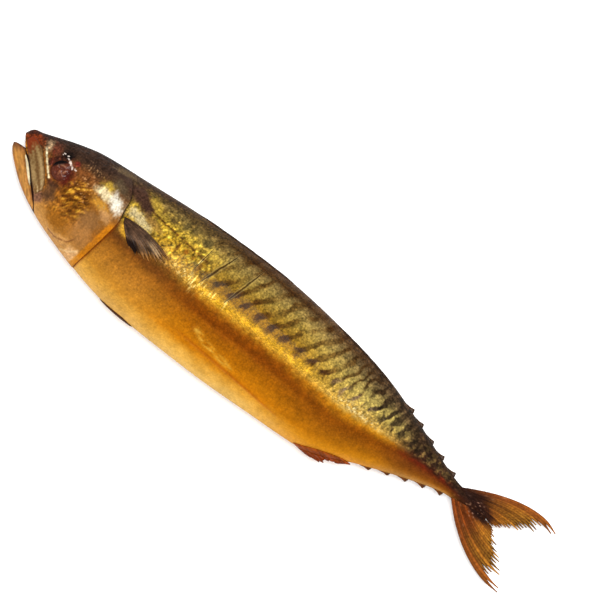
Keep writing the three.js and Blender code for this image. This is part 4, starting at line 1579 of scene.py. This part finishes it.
def belly_ray(side, share):
    """One ray of a belly fin. The rays spread from the root and get shorter towards the flank."""
    path = []
    for k in range(PATH_STEPS + 1):
        along = k / PATH_STEPS
        x = BELLY_FIN_START + 1.2 * share + (BELLY_FIN_LENGTH - 7 * share * share) * along
        z = side * (0.6 + 0.5 * share + BELLY_FIN_SPREAD * share * along)
        path.append((x, belly_height(x, z) - 0.15, z))
    return path


bm = bmesh.new()
layers = paint_layers(bm)
for count, start, pitch, length, lean, inward, change, steps in BACK_FINS:
    for i in range(count):
        spine = back_spine(start + pitch * i, length, lean, inward + change * (i % 2))
        strand(bm, layers, spine, SPINE_RADIUS, FIN_BROWN, steps=steps, sides=6)
for side in (1, -1):
    for i in range(BELLY_RAYS):
        paint = blend(BELLY_FIN_DARK, BELLY_FIN_WARM, random.random())
        ray = belly_ray(side, i / (BELLY_RAYS - 1))
        strand(bm, layers, ray, BELLY_RAY_RADIUS, paint, steps=18, sides=6, taper=0.35)
add_piece("folded_fins", bm, fin)

# %% [markdown]
# ## The floor
# The fish lies on a plain white floor. A single large face is enough, since nothing of it shows but its
# colour.

# %% Floor
FLOOR_REACH = 3.0
FLOOR_WHITE = (0.98, 0.98, 0.98, 1)
FLOOR_ROUGHNESS = 0.7
bm = bmesh.new()
bmesh.ops.create_grid(bm, x_segments=1, y_segments=1, size=FLOOR_REACH)
floor_mesh = bpy.data.meshes.new("floor")
bm.to_mesh(floor_mesh)
bm.free()
floor = bpy.data.objects.new("floor", floor_mesh)
floor_finish = bpy.data.materials.new("pale_floor")
floor_finish.use_nodes = True
floor_finish.node_tree.nodes["Principled BSDF"].inputs["Base Color"].default_value = FLOOR_WHITE
floor_finish.node_tree.nodes["Principled BSDF"].inputs["Roughness"].default_value = FLOOR_ROUGHNESS
floor_mesh.materials.append(floor_finish)
bpy.context.scene.collection.objects.link(floor)
print("the floor reaches", FLOOR_REACH, "m to each side")

# %% [markdown]
# ## The light
# A large lamp almost above the fish draws the bright line along the flank, a weak one fills in from the
# belly, and a pale sky lifts the shadows. All three are stronger than the skin needs by the same share, so
# that the floor turns plain white.

# %% Light
LAMP_HEIGHT = 2.8
LAMP_SIZE = 0.9
KEY_WATTS, FILL_WATTS = 58, 3
SKY_STRENGTH = 0.5


def area_light(name, place, watts, colour):
    """A square lamp that points at the fish."""
    data = bpy.data.lights.new(name, "AREA")
    data.size = LAMP_SIZE
    data.energy = watts * EXPOSED
    data.color = colour
    lamp = bpy.data.objects.new(name, data)
    lamp.location = place
    lamp.rotation_euler = (-Vector(place)).to_track_quat("-Z", "Y").to_euler()
    bpy.context.scene.collection.objects.link(lamp)
    print(name, "lamp of", round(data.energy, 1), "W")


area_light("key", (0.1, 0.45, LAMP_HEIGHT), KEY_WATTS, (1, 0.985, 0.96))
area_light("fill", (-0.6, -0.9, 1.0), FILL_WATTS, (1, 1, 1))
world = bpy.data.worlds.new("studio")
world.use_nodes = True
world.node_tree.nodes["Background"].inputs["Color"].default_value = (1, 1, 1, 1)
world.node_tree.nodes["Background"].inputs["Strength"].default_value = SKY_STRENGTH * EXPOSED
bpy.context.scene.world = world
bpy.context.scene.view_settings.view_transform = "Standard"

# %% [markdown]
# ## The camera
# The camera looks straight down through a long lens, turned so that the fish runs from upper left to lower
# right. Its height follows from the width of the picture, so one number sets how large the fish shows.

# %% Camera
TURN = 38.6  # degrees between the fish and the picture's width
PICTURE_MIDDLE = (164.4, 28.5)  # the point of the fish in the middle of the picture
PICTURE_WIDTH = 0.3056
LENS, SENSOR = 300.0, 36.0
camera_data = bpy.data.cameras.new("camera")
camera_data.lens = LENS
camera_data.sensor_width = SENSOR
camera = bpy.data.objects.new("camera", camera_data)
aim = seat(*PICTURE_MIDDLE, 0)
camera.location = aim + Vector((0, 0, PICTURE_WIDTH * LENS / SENSOR))
camera.rotation_euler = (0, 0, math.radians(TURN))
bpy.context.scene.collection.objects.link(camera)
bpy.context.scene.camera = camera
print("the camera hangs", round(camera.location.z, 2), "m above the floor")
